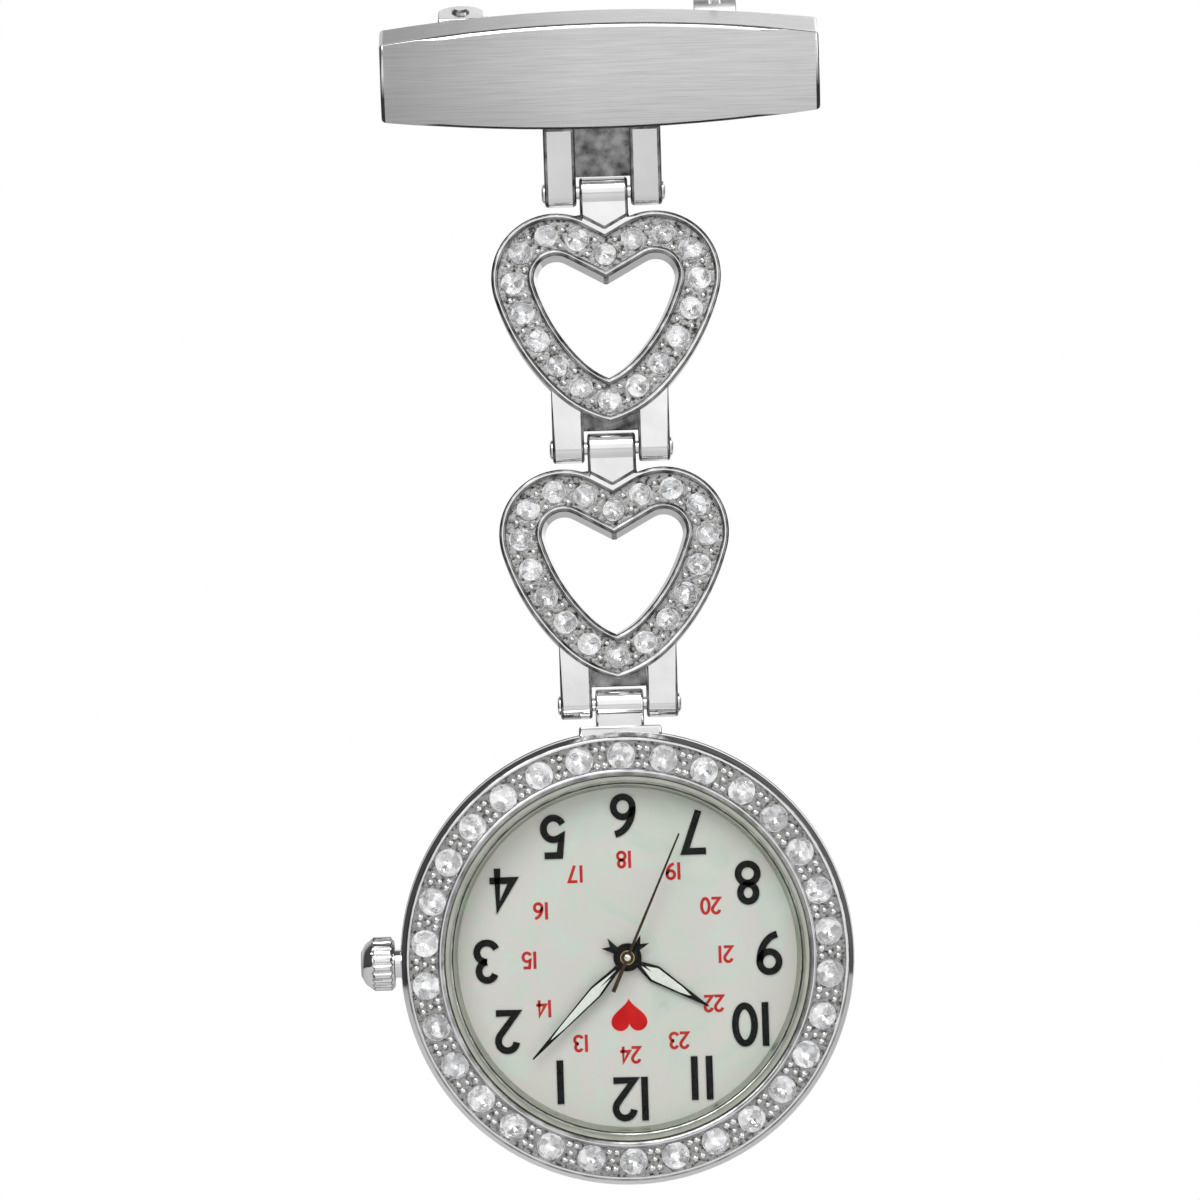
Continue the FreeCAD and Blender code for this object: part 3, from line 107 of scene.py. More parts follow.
class Shading:
    """Short calls for the nodes of a material or of the world."""

    def __init__(self, owner):
        owner.use_nodes = True
        self.tree = owner.node_tree

    def node(self, kind, **settings):
        made = self.tree.nodes.new(kind)
        for key, value in settings.items():
            setattr(made, key, value)
        return made

    def link(self, source, target):
        self.tree.links.new(source, target)

    def split(self, vector):
        """The X, Y and Z outputs of a vector."""
        made = self.node("ShaderNodeSeparateXYZ")
        self.link(vector, made.inputs[0])
        return made.outputs

    def span(self, source, low, high, start=0.0, end=1.0):
        """Map a value's start..end to low..high."""
        made = self.node("ShaderNodeMapRange")
        for label, value in (("From Min", start), ("From Max", end), ("To Min", low), ("To Max", high)):
            made.inputs[label].default_value = value
        self.link(source, made.inputs["Value"])
        return made.outputs["Result"]

    def ramp(self, source, *stops):
        """Colour ramp from (position, colour) pairs."""
        made = self.node("ShaderNodeValToRGB")
        elements = made.color_ramp.elements
        while len(elements) < len(stops):
            elements.new(0.5)
        for element, (position, colour) in zip(elements, stops):
            element.position = position
            element.color = (*colour, 1)
        self.link(source, made.inputs["Fac"])
        return made.outputs["Color"]

    def times(self, first, second):
        """Product of two colours."""
        made = self.node("ShaderNodeMix", data_type="RGBA", blend_type="MULTIPLY")
        made.inputs["Factor"].default_value = 1.0
        self.link(first, made.inputs["A"])
        self.link(second, made.inputs["B"])
        return made.outputs["Result"]


class Finish(Shading):
    """A Principled material, with short calls for the textures that vary it."""

    def __init__(self, name, colour, roughness, metallic=0.0, **sockets):
        self.material = bpy.data.materials.new(name)
        super().__init__(self.material)
        self.shader = self.tree.nodes["Principled BSDF"]
        self.shader.inputs["Base Color"].default_value = (*colour, 1)
        self.shader.inputs["Roughness"].default_value = roughness
        self.shader.inputs["Metallic"].default_value = metallic
        for label, value in sockets.items():
            self.shader.inputs[label.replace("_", " ")].default_value = value
        self.height = None

    def place(self, stretch=(1, 1, 1), centre=(0, 0, 0), turn=(0, 0, 0)):
        """Object coordinates in millimetres from a centre, turned and stretched."""
        coordinates = self.node("ShaderNodeTexCoord")
        moved = self.node("ShaderNodeVectorMath", operation="SUBTRACT")
        self.link(coordinates.outputs["Object"], moved.inputs[0])
        moved.inputs[1].default_value = centre
        mapping = self.node("ShaderNodeMapping")
        mapping.inputs["Rotation"].default_value = turn
        mapping.inputs["Scale"].default_value = [value / MM for value in stretch]
        self.link(moved.outputs[0], mapping.inputs["Vector"])
        return mapping.outputs["Vector"]

    def noise(self, scale, detail=3.0, rough=0.5, twist=0.0, vector=None):
        """Noise over the object, or over other coordinates; scale is in cells per millimetre."""
        made = self.node("ShaderNodeTexNoise")
        made.inputs["Scale"].default_value = scale
        made.inputs["Detail"].default_value = detail
        made.inputs["Roughness"].default_value = rough
        made.inputs["Distortion"].default_value = twist
        self.link(vector or self.place(), made.inputs["Vector"])
        return made.outputs["Fac"]

    def colour(self, source):
        self.link(source, self.shader.inputs["Base Color"])

    def roughness(self, source):
        self.link(source, self.shader.inputs["Roughness"])

    def bump(self, source, depth_mm, strength=1.0):
        """Raise the surface by a texture; a second call adds to the first."""
        made = self.node("ShaderNodeBump")
        made.inputs["Strength"].default_value = strength
        made.inputs["Distance"].default_value = depth_mm * MM
        self.link(source, made.inputs["Height"])
        if self.height:
            self.link(self.height, made.inputs["Normal"])
        self.height = made.outputs["Normal"]
        self.link(self.height, self.shader.inputs["Normal"])


def grey(level):
    return (level, level, level)


def mixed(low, high):
    """Two stops of a colour ramp, from 30% to 70% of the texture."""
    return (0.3, low), (0.7, high)


def polished(name, bright, dull, base=0.07, wear=0.12, cloud=0.35):
    """Plated metal: mirror polish with a faint ripple, wiped haze and fine scratches."""
    made = Finish(name, bright, base, 1.0)
    made.colour(made.ramp(made.noise(cloud, 4), *mixed(dull, bright)))
    haze = made.noise(0.8, 6, 0.65, 0.4)
    made.roughness(made.span(haze, base, wear, 0.35, 0.7))
    made.bump(made.noise(0.3, 2), 0.06, 0.3)
    made.bump(made.noise(1.0, 2, vector=made.place((2, 2, 30), turn=(0.3, 0.9, 0.2))), 0.002, 0.12)
    return made.material


def shaded_below(name, bright, shade, low_z, high_z):
    """Polished edge that is bright above and darkened below by painted shade."""
    made = Finish(name, bright, 0.12, 1.0)
    height = made.span(made.split(made.place())["Z"], 0.0, 1.0, low_z, high_z)
    made.colour(made.ramp(height, (0.3, shade), (0.5, bright)))
    made.roughness(made.span(made.noise(0.8, 5), 0.08, 0.2))
    made.bump(made.noise(0.3, 2), 0.04, 0.25)
    return made.material


def satin(name, bright, dull, painted_shade_end, reach):
    """Metal brushed along X with long hair lines, darkened towards one end by painted shade and fully
    bright at the other.
    """
    made = Finish(name, bright, 0.34, 1.0)
    lines = made.noise(1.0, 5, 0.6, vector=made.place((0.25, 16, 16)))
    # Painted shade: the colour darkens towards the minus-X end.
    along = made.span(made.split(made.place())["X"], 0.0, 1.0, -reach, reach)
    made.colour(made.times(made.ramp(lines, (0.32, dull), (0.6, bright)),
                           made.ramp(along, (0.0, painted_shade_end), (0.45, grey(1)))))
    made.roughness(made.span(made.noise(0.6, 3, vector=made.place((0.2, 5, 5))), 0.3, 0.42))
    made.bump(lines, 0.012, 0.35)
    made.bump(made.noise(0.25, 2), 0.05, 0.2)
    return made.material


def turned_steel(name, bright, dull, centre):
    """Lathe-finished metal: fine rings round a centre on the Y axis."""
    made = Finish(name, bright, 0.22, 1.0)
    parts = made.split(made.place(centre=centre))
    flat = made.node("ShaderNodeCombineXYZ")
    made.link(parts["X"], flat.inputs["X"])
    made.link(parts["Z"], flat.inputs["Y"])
    reach = made.node("ShaderNodeVectorMath", operation="LENGTH")
    made.link(flat.outputs[0], reach.inputs[0])
    rings = made.node("ShaderNodeTexNoise", noise_dimensions="1D")
    rings.inputs["Scale"].default_value = 9.0
    rings.inputs["Detail"].default_value = 4.0
    made.link(reach.outputs["Value"], rings.inputs["W"])
    made.colour(made.ramp(rings.outputs["Fac"], *mixed(dull, bright)))
    made.roughness(made.span(made.noise(0.5, 4), 0.16, 0.3))
    made.bump(rings.outputs["Fac"], 0.01, 0.4)
    return made.material


def grained(name, bright, dull):
    """Channel floor between the stones: bright-cut and stippled, greyer in its hollows."""
    made = Finish(name, bright, 0.3, 1.0)
    grains = made.noise(3.2, 4, 0.6)
    made.colour(made.ramp(grains, (0.36, dull), (0.52, bright)))
    made.roughness(made.span(made.noise(3, 3), 0.22, 0.42))
    made.bump(grains, 0.12, 0.7)
    made.bump(made.noise(9, 2), 0.03, 0.4)
    return made.material


def clear_crystal(name):
    """Flat mineral glass that shows the dial clearly and mirrors a little of the studio."""
    made = Finish(name, (1, 1, 1), 0.02, 0.0, IOR=1.45, Transmission_Weight=1.0)
    made.roughness(made.span(made.noise(0.4, 4, 0.6), 0.0, 0.015, 0.4, 0.8))
    through = made.node("ShaderNodeBsdfTransparent")
    through.inputs["Color"].default_value = (0.985, 0.995, 0.985, 1)
    gloss = made.node("ShaderNodeBsdfGlossy")
    gloss.inputs["Roughness"].default_value = 0.03
    edge = made.node("ShaderNodeFresnel")
    edge.inputs["IOR"].default_value = 1.12
    mix = made.node("ShaderNodeMixShader")
    made.link(edge.outputs["Fac"], mix.inputs["Fac"])
    made.link(through.outputs[0], mix.inputs[1])
    made.link(gloss.outputs[0], mix.inputs[2])
    made.link(mix.outputs[0], made.tree.nodes["Material Output"].inputs["Surface"])
    return made.material


def stone_glass(name):
    """Clear cut glass of the stones' crowns, with a trace of fine wear on the facets."""
    made = Finish(name, (1, 1, 1), 0.0, 0.0, IOR=1.58, Transmission_Weight=1.0)
    made.roughness(made.span(made.noise(1.2, 3), 0.0, 0.03, 0.45, 0.8))
    return made.material


def foil(name):
    """Silvered backs of the stones with painted glints: each patch of foil glows with more or less light
    of its own.
    """
    # Painted light: the foil glows through emission, brighter or darker patch by patch.
    made = Finish(name, (0.97, 0.97, 0.98), 0.2, 0.8, Emission_Strength=0.38)
    patches = made.node("ShaderNodeTexVoronoi")
    patches.inputs["Scale"].default_value = 2.3
    made.link(made.place(), patches.inputs["Vector"])
    painted_glints = made.ramp(patches.outputs["Color"], (0.42, grey(0.01)), (0.54, (0.55, 0.55, 0.56)),
                        (0.72, grey(1)))
    made.link(painted_glints, made.shader.inputs["Emission Color"])
    made.colour(made.ramp(made.noise(1.5, 3), (0.3, (0.86, 0.87, 0.9)), (0.6, grey(0.99))))
    made.roughness(made.span(made.noise(1.1, 2), 0.1, 0.38, 0.35, 0.65))
    made.bump(made.noise(2.5, 2), 0.02, 0.3)
    return made.material


def mother_of_pearl(name):
    """Pearly dial: drifting green, pink and cream clouds under a clear coat."""
    made = Finish(name, (0.86, 0.88, 0.84), 0.3, 0.0, Coat_Weight=0.4, Coat_Roughness=0.08)
    clouds = made.noise(0.16, 5, 0.55, 1.6)
    made.colour(made.ramp(
        clouds, (0.28, (0.66, 0.73, 0.66)), (0.42, (0.75, 0.77, 0.72)), (0.52, (0.80, 0.74, 0.73)),
        (0.62, (0.73, 0.79, 0.73)), (0.75, (0.81, 0.81, 0.78))))
    made.roughness(made.span(made.noise(0.5, 4), 0.22, 0.42))
    made.bump(made.noise(0.3, 3, vector=made.place((1, 1, 3.5), turn=(0, 0.6, 0))), 0.03, 0.12)
    return made.material


def lacquer(name, colour, lighter, rough=0.16):
    """Thick glossy print that has flowed slightly before it dried."""
    made = Finish(name, colour, rough, 0.0, Coat_Weight=0.08, Coat_Roughness=0.06,
                  Specular_IOR_Level=0.12)
    made.colour(made.ramp(made.noise(1.2, 4), *mixed(colour, lighter)))
    made.roughness(made.span(made.noise(2.0, 3), rough, rough + 0.15))
    made.bump(made.noise(1.6, 2), 0.03, 0.3)
    return made.material


def lume(name):
    """Luminous paste: matt, off-white and faintly granular."""
    made = Finish(name, (0.92, 0.94, 0.9), 0.6)
    made.colour(made.ramp(made.noise(4, 4), *mixed((0.84, 0.87, 0.8), (0.96, 0.97, 0.94))))
    made.roughness(made.span(made.noise(5, 2), 0.5, 0.75))
    made.bump(made.noise(7, 3), 0.03, 0.6)
    return made.material


def moulded(name, colour, lighter, rough=0.45, grain=5.0):
    """Moulded plastic or rubber with a fine surface grain."""
    made = Finish(name, colour, rough)
    made.colour(made.ramp(made.noise(0.7, 4), *mixed(colour, lighter)))
    made.roughness(made.span(made.noise(2.0, 3), rough - 0.08, rough + 0.12))
    made.bump(made.noise(grain, 3), 0.02, 0.4)
    return made.material


def wound_copper(name):
    """Enamelled wire, close turns across the coil's length."""
    made = Finish(name, (0.72, 0.3, 0.14), 0.3, 0.9)
    wave = made.node("ShaderNodeTexWave", wave_type="BANDS")
    wave.inputs["Scale"].default_value = 3.2
    made.link(made.place(turn=(0, math.radians(45), 0)), wave.inputs["Vector"])
    made.colour(made.ramp(wave.outputs["Fac"], *mixed((0.3, 0.1, 0.04), (0.85, 0.42, 0.2))))
    made.bump(wave.outputs["Fac"], 0.04, 0.7)
    return made.material


def studio_floor(name):
    """Matt pale table top with hardly any cloud in it."""
    made = Finish(name, grey(0.9), 0.7)
    made.colour(made.ramp(made.noise(0.02, 3), *mixed(grey(0.87), grey(0.91))))
    return made.material


bar_low, bar_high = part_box("brooch_bar")

SILVER = polished("polished_silver", grey(0.93), (0.84, 0.84, 0.85))
# Painted shade: dark silver for the recessed webs between prongs, and a painted dark reflection on the
# rolled edges of the hearts and the fork.
SHADED = polished("painted_shade_silver", grey(0.42), grey(0.05), base=0.2, wear=0.4, cloud=1.1)
# Painted dark reflection: dull silver on the rolled edges of the bezel and the crown.
SHADED_RIM = polished("painted_shade_rim_silver", grey(0.62), grey(0.2), base=0.12, wear=0.3, cloud=0.9)
# Painted shade darkens the bar's satin face towards its left end.
SATIN = satin("satin_silver", grey(0.87), grey(0.71), painted_shade_end=grey(0.62), reach=13.5)
# Painted shade on the lower half of the bar's rolled edges, bright above.
BAR_EDGE = shaded_below("rolled_edge_painted_shade_silver", grey(0.97), grey(0.06), bar_low.z / MM, bar_high.z / MM)
GRAIN = grained("grained_silver", (0.4, 0.4, 0.39), grey(0.04))
STEEL = polished("bright_steel", grey(0.8), (0.66, 0.67, 0.68), base=0.13, wear=0.25)
CATCH = polished("worn_steel", grey(0.86), grey(0.6), base=0.4, wear=0.6)
BACK_STEEL = turned_steel("turned_steel", (0.8, 0.8, 0.79), grey(0.6), WATCH_CENTRE)
CELL = turned_steel("cell_steel", (0.74, 0.74, 0.75), (0.55, 0.55, 0.57), middle("battery"))
BRASS = turned_steel("turned_brass", (0.86, 0.68, 0.34), (0.66, 0.48, 0.2), WATCH_CENTRE)
FLANGE = polished("flange_grey", (0.5, 0.51, 0.44), (0.36, 0.38, 0.31), base=0.25, wear=0.4)
MAGNET = polished("magnet_black", (0.2, 0.2, 0.22), (0.12, 0.12, 0.13), base=0.3, wear=0.45)
COPPER = wound_copper("wound_copper")
CRYSTAL = clear_crystal("clear_crystal")
STONE = stone_glass("stone_glass")
FOIL = foil("glowing_stone_foil")
PEARL = mother_of_pearl("pearl_dial")
BLACK = lacquer("black_lacquer", (0.003, 0.003, 0.004), (0.01, 0.01, 0.011))
RED = lacquer("red_print", (0.55, 0.02, 0.02), (0.68, 0.05, 0.04), rough=0.35)
BRONZE = lacquer("dark_bronze", (0.04, 0.022, 0.013), (0.08, 0.045, 0.028), rough=0.3)
EMBLEM_RED = lacquer("emblem_red", (0.62, 0.004, 0.006), (0.8, 0.012, 0.012), rough=0.25)
LUME = lume("luminous_fill")
SEAL = moulded("grey_seal", (0.38, 0.39, 0.33), (0.5, 0.51, 0.44), rough=0.5)
RUBBER = moulded("black_rubber", grey(0.02), grey(0.05), rough=0.6)
HOLDER = moulded("white_plastic", (0.7, 0.7, 0.67), (0.8, 0.8, 0.78))
BOARD = moulded("green_board", (0.02, 0.14, 0.06), (0.04, 0.22, 0.1), rough=0.35, grain=2.0)
RESIN = moulded("black_resin", (0.012, 0.012, 0.014), grey(0.03), rough=0.3, grain=1.0)


# ---------------------------------------------------------------- mesh helpers

# Angles between faces, in degrees: shaded smooth under the first, rolled over the second, and one
# flat face under the last.
SMOOTH_ANGLE = 30
ROLLED_ANGLE = 35
FLAT_ANGLE = 0.4
WELD_DISTANCE = 0.001 * MM

# A face looks along a direction when the cosine between them is over this.
FACING = 0.9


def body_of(node):
    return frame["nodes"][node]["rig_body"]


def new_piece(name, mesh, body, slot, *materials):
    """Object for a mesh in the CAD frame, riding on a body."""
    piece = bpy.data.objects.new(name, mesh)
    bpy.context.scene.collection.objects.link(piece)
    for material in materials:
        piece.data.materials.append(material)
    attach(piece, body)
    return piece


def finished(name, bm, body, slot, *materials, smooth_angle=SMOOTH_ANGLE):
    """Piece from a bmesh, with its faces turned outwards and shaded smooth up to an angle."""
    bmesh.ops.recalc_face_normals(bm, faces=bm.faces)
    shade(bm, smooth_angle)
    mesh = bpy.data.meshes.new(name)
    bm.to_mesh(mesh)
    bm.free()
    return new_piece(name, mesh, body, slot, *materials)


def shade(bm, smooth_angle):
    """Shade smooth across edges under an angle in degrees, and flat everywhere when it is 0."""
    limit = math.radians(smooth_angle)
    for face in bm.faces:
        face.smooth = smooth_angle > 0
    for edge in bm.edges:
        edge.smooth = len(edge.link_faces) == 2 and edge.calc_face_angle(0) < limit


def welded(node):
    """The CAD node's mesh as one bmesh, with the doubled vertices of its sharp edges joined."""
    bm = bmesh.new()
    bm.from_mesh(frame["nodes"][node].data)
    bmesh.ops.remove_doubles(bm, verts=bm.verts, dist=WELD_DISTANCE)
    bmesh.ops.dissolve_limit(bm, angle_limit=math.radians(FLAT_ANGLE), verts=bm.verts, edges=bm.edges)
    return bm


def is_outer_edge(edge):
    """True for a sharp edge that stands out, away from faces in the second material."""
    return (edge.is_convex and edge.calc_face_angle(0) > math.radians(ROLLED_ANGLE)
            and all(face.material_index != 1 for face in edge.link_faces))


def softened(node, slot, materials, bevel_mm, material_of=None, segments=2, edge=None):
    """Copy of a CAD node with rolled edges.

    A function of a face can pick its place in the list of materials. The rolled edges take the
    material named edge, or else that of the faces beside them.
    """
    bm = welded(node)
    shade(bm, SMOOTH_ANGLE)
    if material_of:
        for face in bm.faces:
            face.material_index = material_of(face)
    weight = bm.edges.layers.float.new("bevel_weight_edge")
    for side in bm.edges:
        side[weight] = float(is_outer_edge(side))
    mesh = bpy.data.meshes.new(node + "_finish")
    bm.to_mesh(mesh)
    bm.free()
    custom = mesh.attributes.get("custom_normal")
    if custom:
        mesh.attributes.remove(custom)
    piece = new_piece(node + "_finish", mesh, body_of(node), slot, *materials)
    bevel = piece.modifiers.new("rolled_edges", "BEVEL")
    bevel.width = bevel_mm * MM
    bevel.segments = segments
    bevel.material = materials.index(edge) if edge else -1
    bevel.limit_method = "WEIGHT"
    bevel.use_clamp_overlap = False
    bevel.miter_outer = "MITER_ARC"
    normals = piece.modifiers.new("weighted_normals", "WEIGHTED_NORMAL")
    normals.keep_sharp = True
    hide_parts(node)
    return piece


def islands(node):
    """Points of each separate solid in a CAD node, in the order of its mesh."""
    bm = welded(node)
    seen = set()
    found = []
    for start in bm.verts:
        if start in seen:
            continue
        seen.add(start)
        group = [start]
        for vertex in group:
            for edge in vertex.link_edges:
                other = edge.other_vert(vertex)
                if other not in seen:
                    seen.add(other)
                    group.append(other)
        found.append(np.array([vertex.co for vertex in group]))
    bm.free()
    return found


def plane_normal(points):
    """Normal of the flattest plane through points, facing the viewer."""
    centred = np.array(points) - np.mean(points, axis=0)
    normal = Vector(np.linalg.svd(centred)[2][2])
    return normal if normal.dot(FRONT) > 0 else -normal


def plane_axes(normal):
    """Two directions in the plane across a normal: level, and up it."""
    across = UP.cross(normal).normalized()
    return across, normal.cross(across)


# ---------------------------------------------------------------- stones

# Proportions of a brilliant, as shares of its radius.
TABLE = 0.56
CROWN_HEIGHT = 0.36
STAR = 0.8
PAVILION = 0.56
LOWER = 0.45
GIRDLE = 0.05

# A stone fills nearly all of its seat; the floor of its setting is just below its girdle.
SEAT_SHARE = 0.985
FLOOR_DROP = 0.05 * MM
FLOOR_TOLERANCE = 0.12 * MM
BEAD_SQUASH = 0.8


def brilliant(bm, centre, normal, radius, spin):
    """Round brilliant: octagonal table, stars, kites and halves over a silvered pavilion."""
    across, along = plane_axes(normal)

    def ring(count, share, level, offset=0.0):
        made = []
        for step in range(count):
            angle = spin + 2 * math.pi * (step + offset) / count
            spot = centre + radius * (share * (math.cos(angle) * across + math.sin(angle) * along)
                                      + level * normal)
            made.append(bm.verts.new(spot))
        return made

    half = math.cos(math.pi / 8)
    star_level = CROWN_HEIGHT * (1 - STAR * half) / (1 - TABLE)
    lower_level = -GIRDLE - (PAVILION - GIRDLE) * (1 - LOWER * half)
    table = ring(8, TABLE, CROWN_HEIGHT)
    stars = ring(8, STAR, star_level, 0.5)
    upper = ring(16, 1.0, 0.0)
    under = ring(16, 1.0, -GIRDLE)
    lower = ring(8, LOWER, lower_level, 0.5)
    culet = bm.verts.new(centre - radius * PAVILION * normal)
    faces = [table]
    backs = []
    for step in range(8):
        after = (step + 1) % 8
        here, between, there = 2 * step, 2 * step + 1, 2 * after
        faces.append([table[step], stars[step], table[after]])
        faces.append([table[step], stars[step - 1], upper[here], stars[step]])
        faces.append([stars[step], upper[here], upper[between]])
        faces.append([stars[step], upper[between], upper[there]])
        backs.append([culet, lower[step - 1], under[here], lower[step]])
        backs.append([lower[step], under[here], under[between]])
        backs.append([lower[step], under[between], under[there]])
    for step in range(16):
        after = (step + 1) % 16
        faces.append([upper[step], under[step], under[after], upper[after]])
    for corners in faces:
        bm.faces.new(corners)
    for corners in backs:
        bm.faces.new(corners).material_index = 1


def bead(bm, centre, radius, normal):
    """Small raised grain of metal that grips a stone's edge."""
    turn = normal.to_track_quat("Z", "Y").to_matrix().to_4x4()
    shape = Matrix.Translation(centre) @ turn @ Matrix.Diagonal((1, 1, BEAD_SQUASH, 1))
    bmesh.ops.create_uvsphere(bm, u_segments=12, v_segments=7, radius=radius, matrix=shape)


def setting_material(seats, normal):
    """Function that gives 1 for faces of the sunken floor that a row of stones is set in, else 0."""
    level = seats[0].dot(normal) - FLOOR_DROP

    def pick(face):
        depth = face.calc_center_median().dot(normal) - level
        return int(face.normal.dot(normal) > FACING and abs(depth) < FLOOR_TOLERANCE)
    return pick


def stone_set(node, name, bead_name, bead_places):
    """Brilliants in a CAD node's seats, with beads of metal between them."""
    found = islands(node)
    centres = [Vector((points.min(axis=0) + points.max(axis=0)) / 2) for points in found]
    normal = plane_normal(centres)
    radius = float(max(np.linalg.norm(points - points.mean(axis=0), axis=1).max() for points in found))
    top = max(float(np.dot(points, normal).max()) for points in found)
    girdle = top - radius * CROWN_HEIGHT
    seats = [centre + normal * (girdle - centre.dot(normal)) for centre in centres]
    bm = bmesh.new()
    for seat in seats:
        brilliant(bm, seat, normal, radius * SEAT_SHARE, random.uniform(0, math.pi / 4))
    stones = finished(name, bm, body_of(node), "stones", STONE, FOIL, smooth_angle=0)
    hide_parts(node)
    bm = bmesh.new()
    for spot, size in bead_places(seats, normal, radius):
        bead(bm, spot, size, normal)
    finished(bead_name, bm, body_of(node), "bright_silver", SILVER, smooth_angle=60)
    return setting_material(seats, normal)


def bezel_beads(seats, normal, radius):
    """Four grains round a smaller one in every gap of a round setting."""
    inset, spread = radius * 0.62, radius * 0.27
    centre = sum(seats, Vector()) / len(seats)
    ordered = sorted(seats, key=lambda seat: math.atan2(seat.z - centre.z, seat.x - centre.x))
    ring = (ordered[0] - centre).length
    step = 2 * math.pi / len(ordered)
    start = math.atan2(ordered[0].z - centre.z, ordered[0].x - centre.x)
    places = []
    for number in range(len(ordered)):
        angle = start + step * (number + 0.5)
        outward = Vector((math.cos(angle), 0, math.sin(angle)))
        along = Vector((-math.sin(angle), 0, math.cos(angle)))
        for side in (-1, 1):
            for turn in (-1, 1):
                spot = centre + outward * (ring + side * inset) + along * (turn * spread)
                places.append((spot, radius * random.uniform(0.22, 0.27)))
        places.append((centre + outward * ring, radius * 0.2))
    return places


def heart_beads(seats, normal, radius):
    """Two grains in every gap along the heart's channel."""
    neighbour, inset = radius * 3.3, radius * 0.72
    places = []
    for index, seat in enumerate(seats):
        for other in seats[index + 1:]:
            gap = other - seat
            if gap.length < neighbour:
                side = normal.cross(gap).normalized()
                for sign in (-1, 1):
                    spot = (seat + other) / 2 + side * (sign * inset)
                    places.append((spot, radius * random.uniform(0.2, 0.26)))
    return places


floor_of = {"bezel": stone_set("bezel_stones", "bezel_brilliants", "bezel_beads", bezel_beads)}
for side in ("upper", "lower"):
    floor_of[side] = stone_set(f"{side}_heart_stones", f"{side}_heart_brilliants",
                               f"{side}_heart_beads", heart_beads)


# ---------------------------------------------------------------- metal with rolled edges

# The web between two prongs is no wider than this either side of the middle, and lies behind the
# hearts' faces. The step under the crystal ends just outside the dial.
WEB_REACH = 1.82 * MM
HEART_FACE = -0.5 * MM
STEP_REACH = 1.02 * DIAL_RADIUS


def bezel_material(face):
    """2 for the dull step that the crystal lies on, 1 for the stones' floor and 0 elsewhere."""
    reach = max(math.hypot(vertex.co.x - WATCH_CENTRE.x, vertex.co.z - WATCH_CENTRE.z)
                for vertex in face.verts)
    return 2 if reach < STEP_REACH else floor_of["bezel"](face)


def between_prongs(face):
    """True for the front of the web between two prongs, where shade is painted."""
    return face.normal.dot(FRONT) > FACING and all(abs(vertex.co.x) < WEB_REACH for vertex in face.verts)


def heart_material(is_floor):
    """Function that gives 2 for the recessed web, which takes painted shade, 1 for the stones' floor and 0
    elsewhere.
    """
    def pick(face):
        recessed = face.calc_center_median().y > HEART_FACE
        return 2 if recessed and between_prongs(face) else is_floor(face)
    return pick


# Painted dark reflection on the bezel's rolled edges.
softened("bezel", "bright_silver", (SILVER, GRAIN, FLANGE, SHADED_RIM), bevel_mm=0.14,
         material_of=bezel_material, segments=3, edge=SHADED_RIM)
# Painted shade on the hearts' recessed webs and a painted dark reflection on their rolled edges.
for side in ("upper", "lower"):
    softened(f"{side}_heart_frame", "bright_silver", (SILVER, GRAIN, SHADED), bevel_mm=0.19,
             material_of=heart_material(floor_of[side]), segments=3, edge=SHADED)
# Painted shade darkens the bar's satin face towards its left end.
# Painted shade on the lower half of the bar's rolled edges.
softened("brooch_bar", "satin_silver", (SATIN, BAR_EDGE), bevel_mm=0.24, segments=4, edge=BAR_EDGE)
# Painted shade on the web between the prongs and a painted dark reflection on their rolled edges.
softened("bar_fork", "bright_silver", (SILVER, SHADED), bevel_mm=0.25,
         material_of=between_prongs, segments=3, edge=SHADED)
softened("case_body", "bright_silver", (SILVER,), bevel_mm=0.18, segments=3)
# Painted dark reflection on the crown's rolled edges.
softened("crown", "bright_silver", (SILVER, SHADED_RIM), bevel_mm=0.05, edge=SHADED_RIM)
softened("pin_base_plate", "steel", (STEEL,), bevel_mm=0.08)
softened("catch_housing", "steel", (CATCH,), bevel_mm=0.05)
softened("catch_rotor", "steel", (CATCH,), bevel_mm=0.05)
softened("case_back", "steel", (BACK_STEEL,), bevel_mm=0.06)

# CAD nodes that are shown with their own meshes, by material.
CARRIED_OVER = {
    SILVER: ["upper_hinge_pin", "middle_hinge_pin", "lower_hinge_pin", "crown_tube"],
    STEEL: ["pin_stem", "pin_rivet", "setting_stem", "setting_lever", "battery_clip", "stator",
            "bridge_screws"],
    BRASS: ["main_plate", "train_bridge", "center_wheel", "third_wheel", "fourth_wheel", "fifth_wheel",
            "minute_wheel", "hour_wheel", "setting_wheel", "sliding_pinion"],
    RUBBER: ["case_back_gasket", "crown_gasket"],
    SEAL: ["crystal_gasket"],
    CRYSTAL: ["crystal"],
    PEARL: ["dial"],
    FLANGE: ["flange_ring"],
    HOLDER: ["movement_holder"],
    CELL: ["battery", "quartz_can"],
    COPPER: ["coil"],
    BOARD: ["circuit_board"],
    RESIN: ["ic_blob"],
    MAGNET: ["rotor"],
}
for material, labels in CARRIED_OVER.items():
    for label in labels:
        slots = frame["nodes"][label].data.materials
        slots.clear()
        slots.append(material)


# ---------------------------------------------------------------- dial print

def arc(x, y, wide, high, start, end, steps=14):
    """Points on an ellipse between two angles in degrees."""
    angles = [math.radians(start + (end - start) * step / steps) for step in range(steps + 1)]
    return [(x + wide * math.cos(angle), y + high * math.sin(angle)) for angle in angles]


# Print sinks a little into the dial, so that no gap shows under it.
PRINT_FOOT = DIAL_FACE - 0.02 * MM

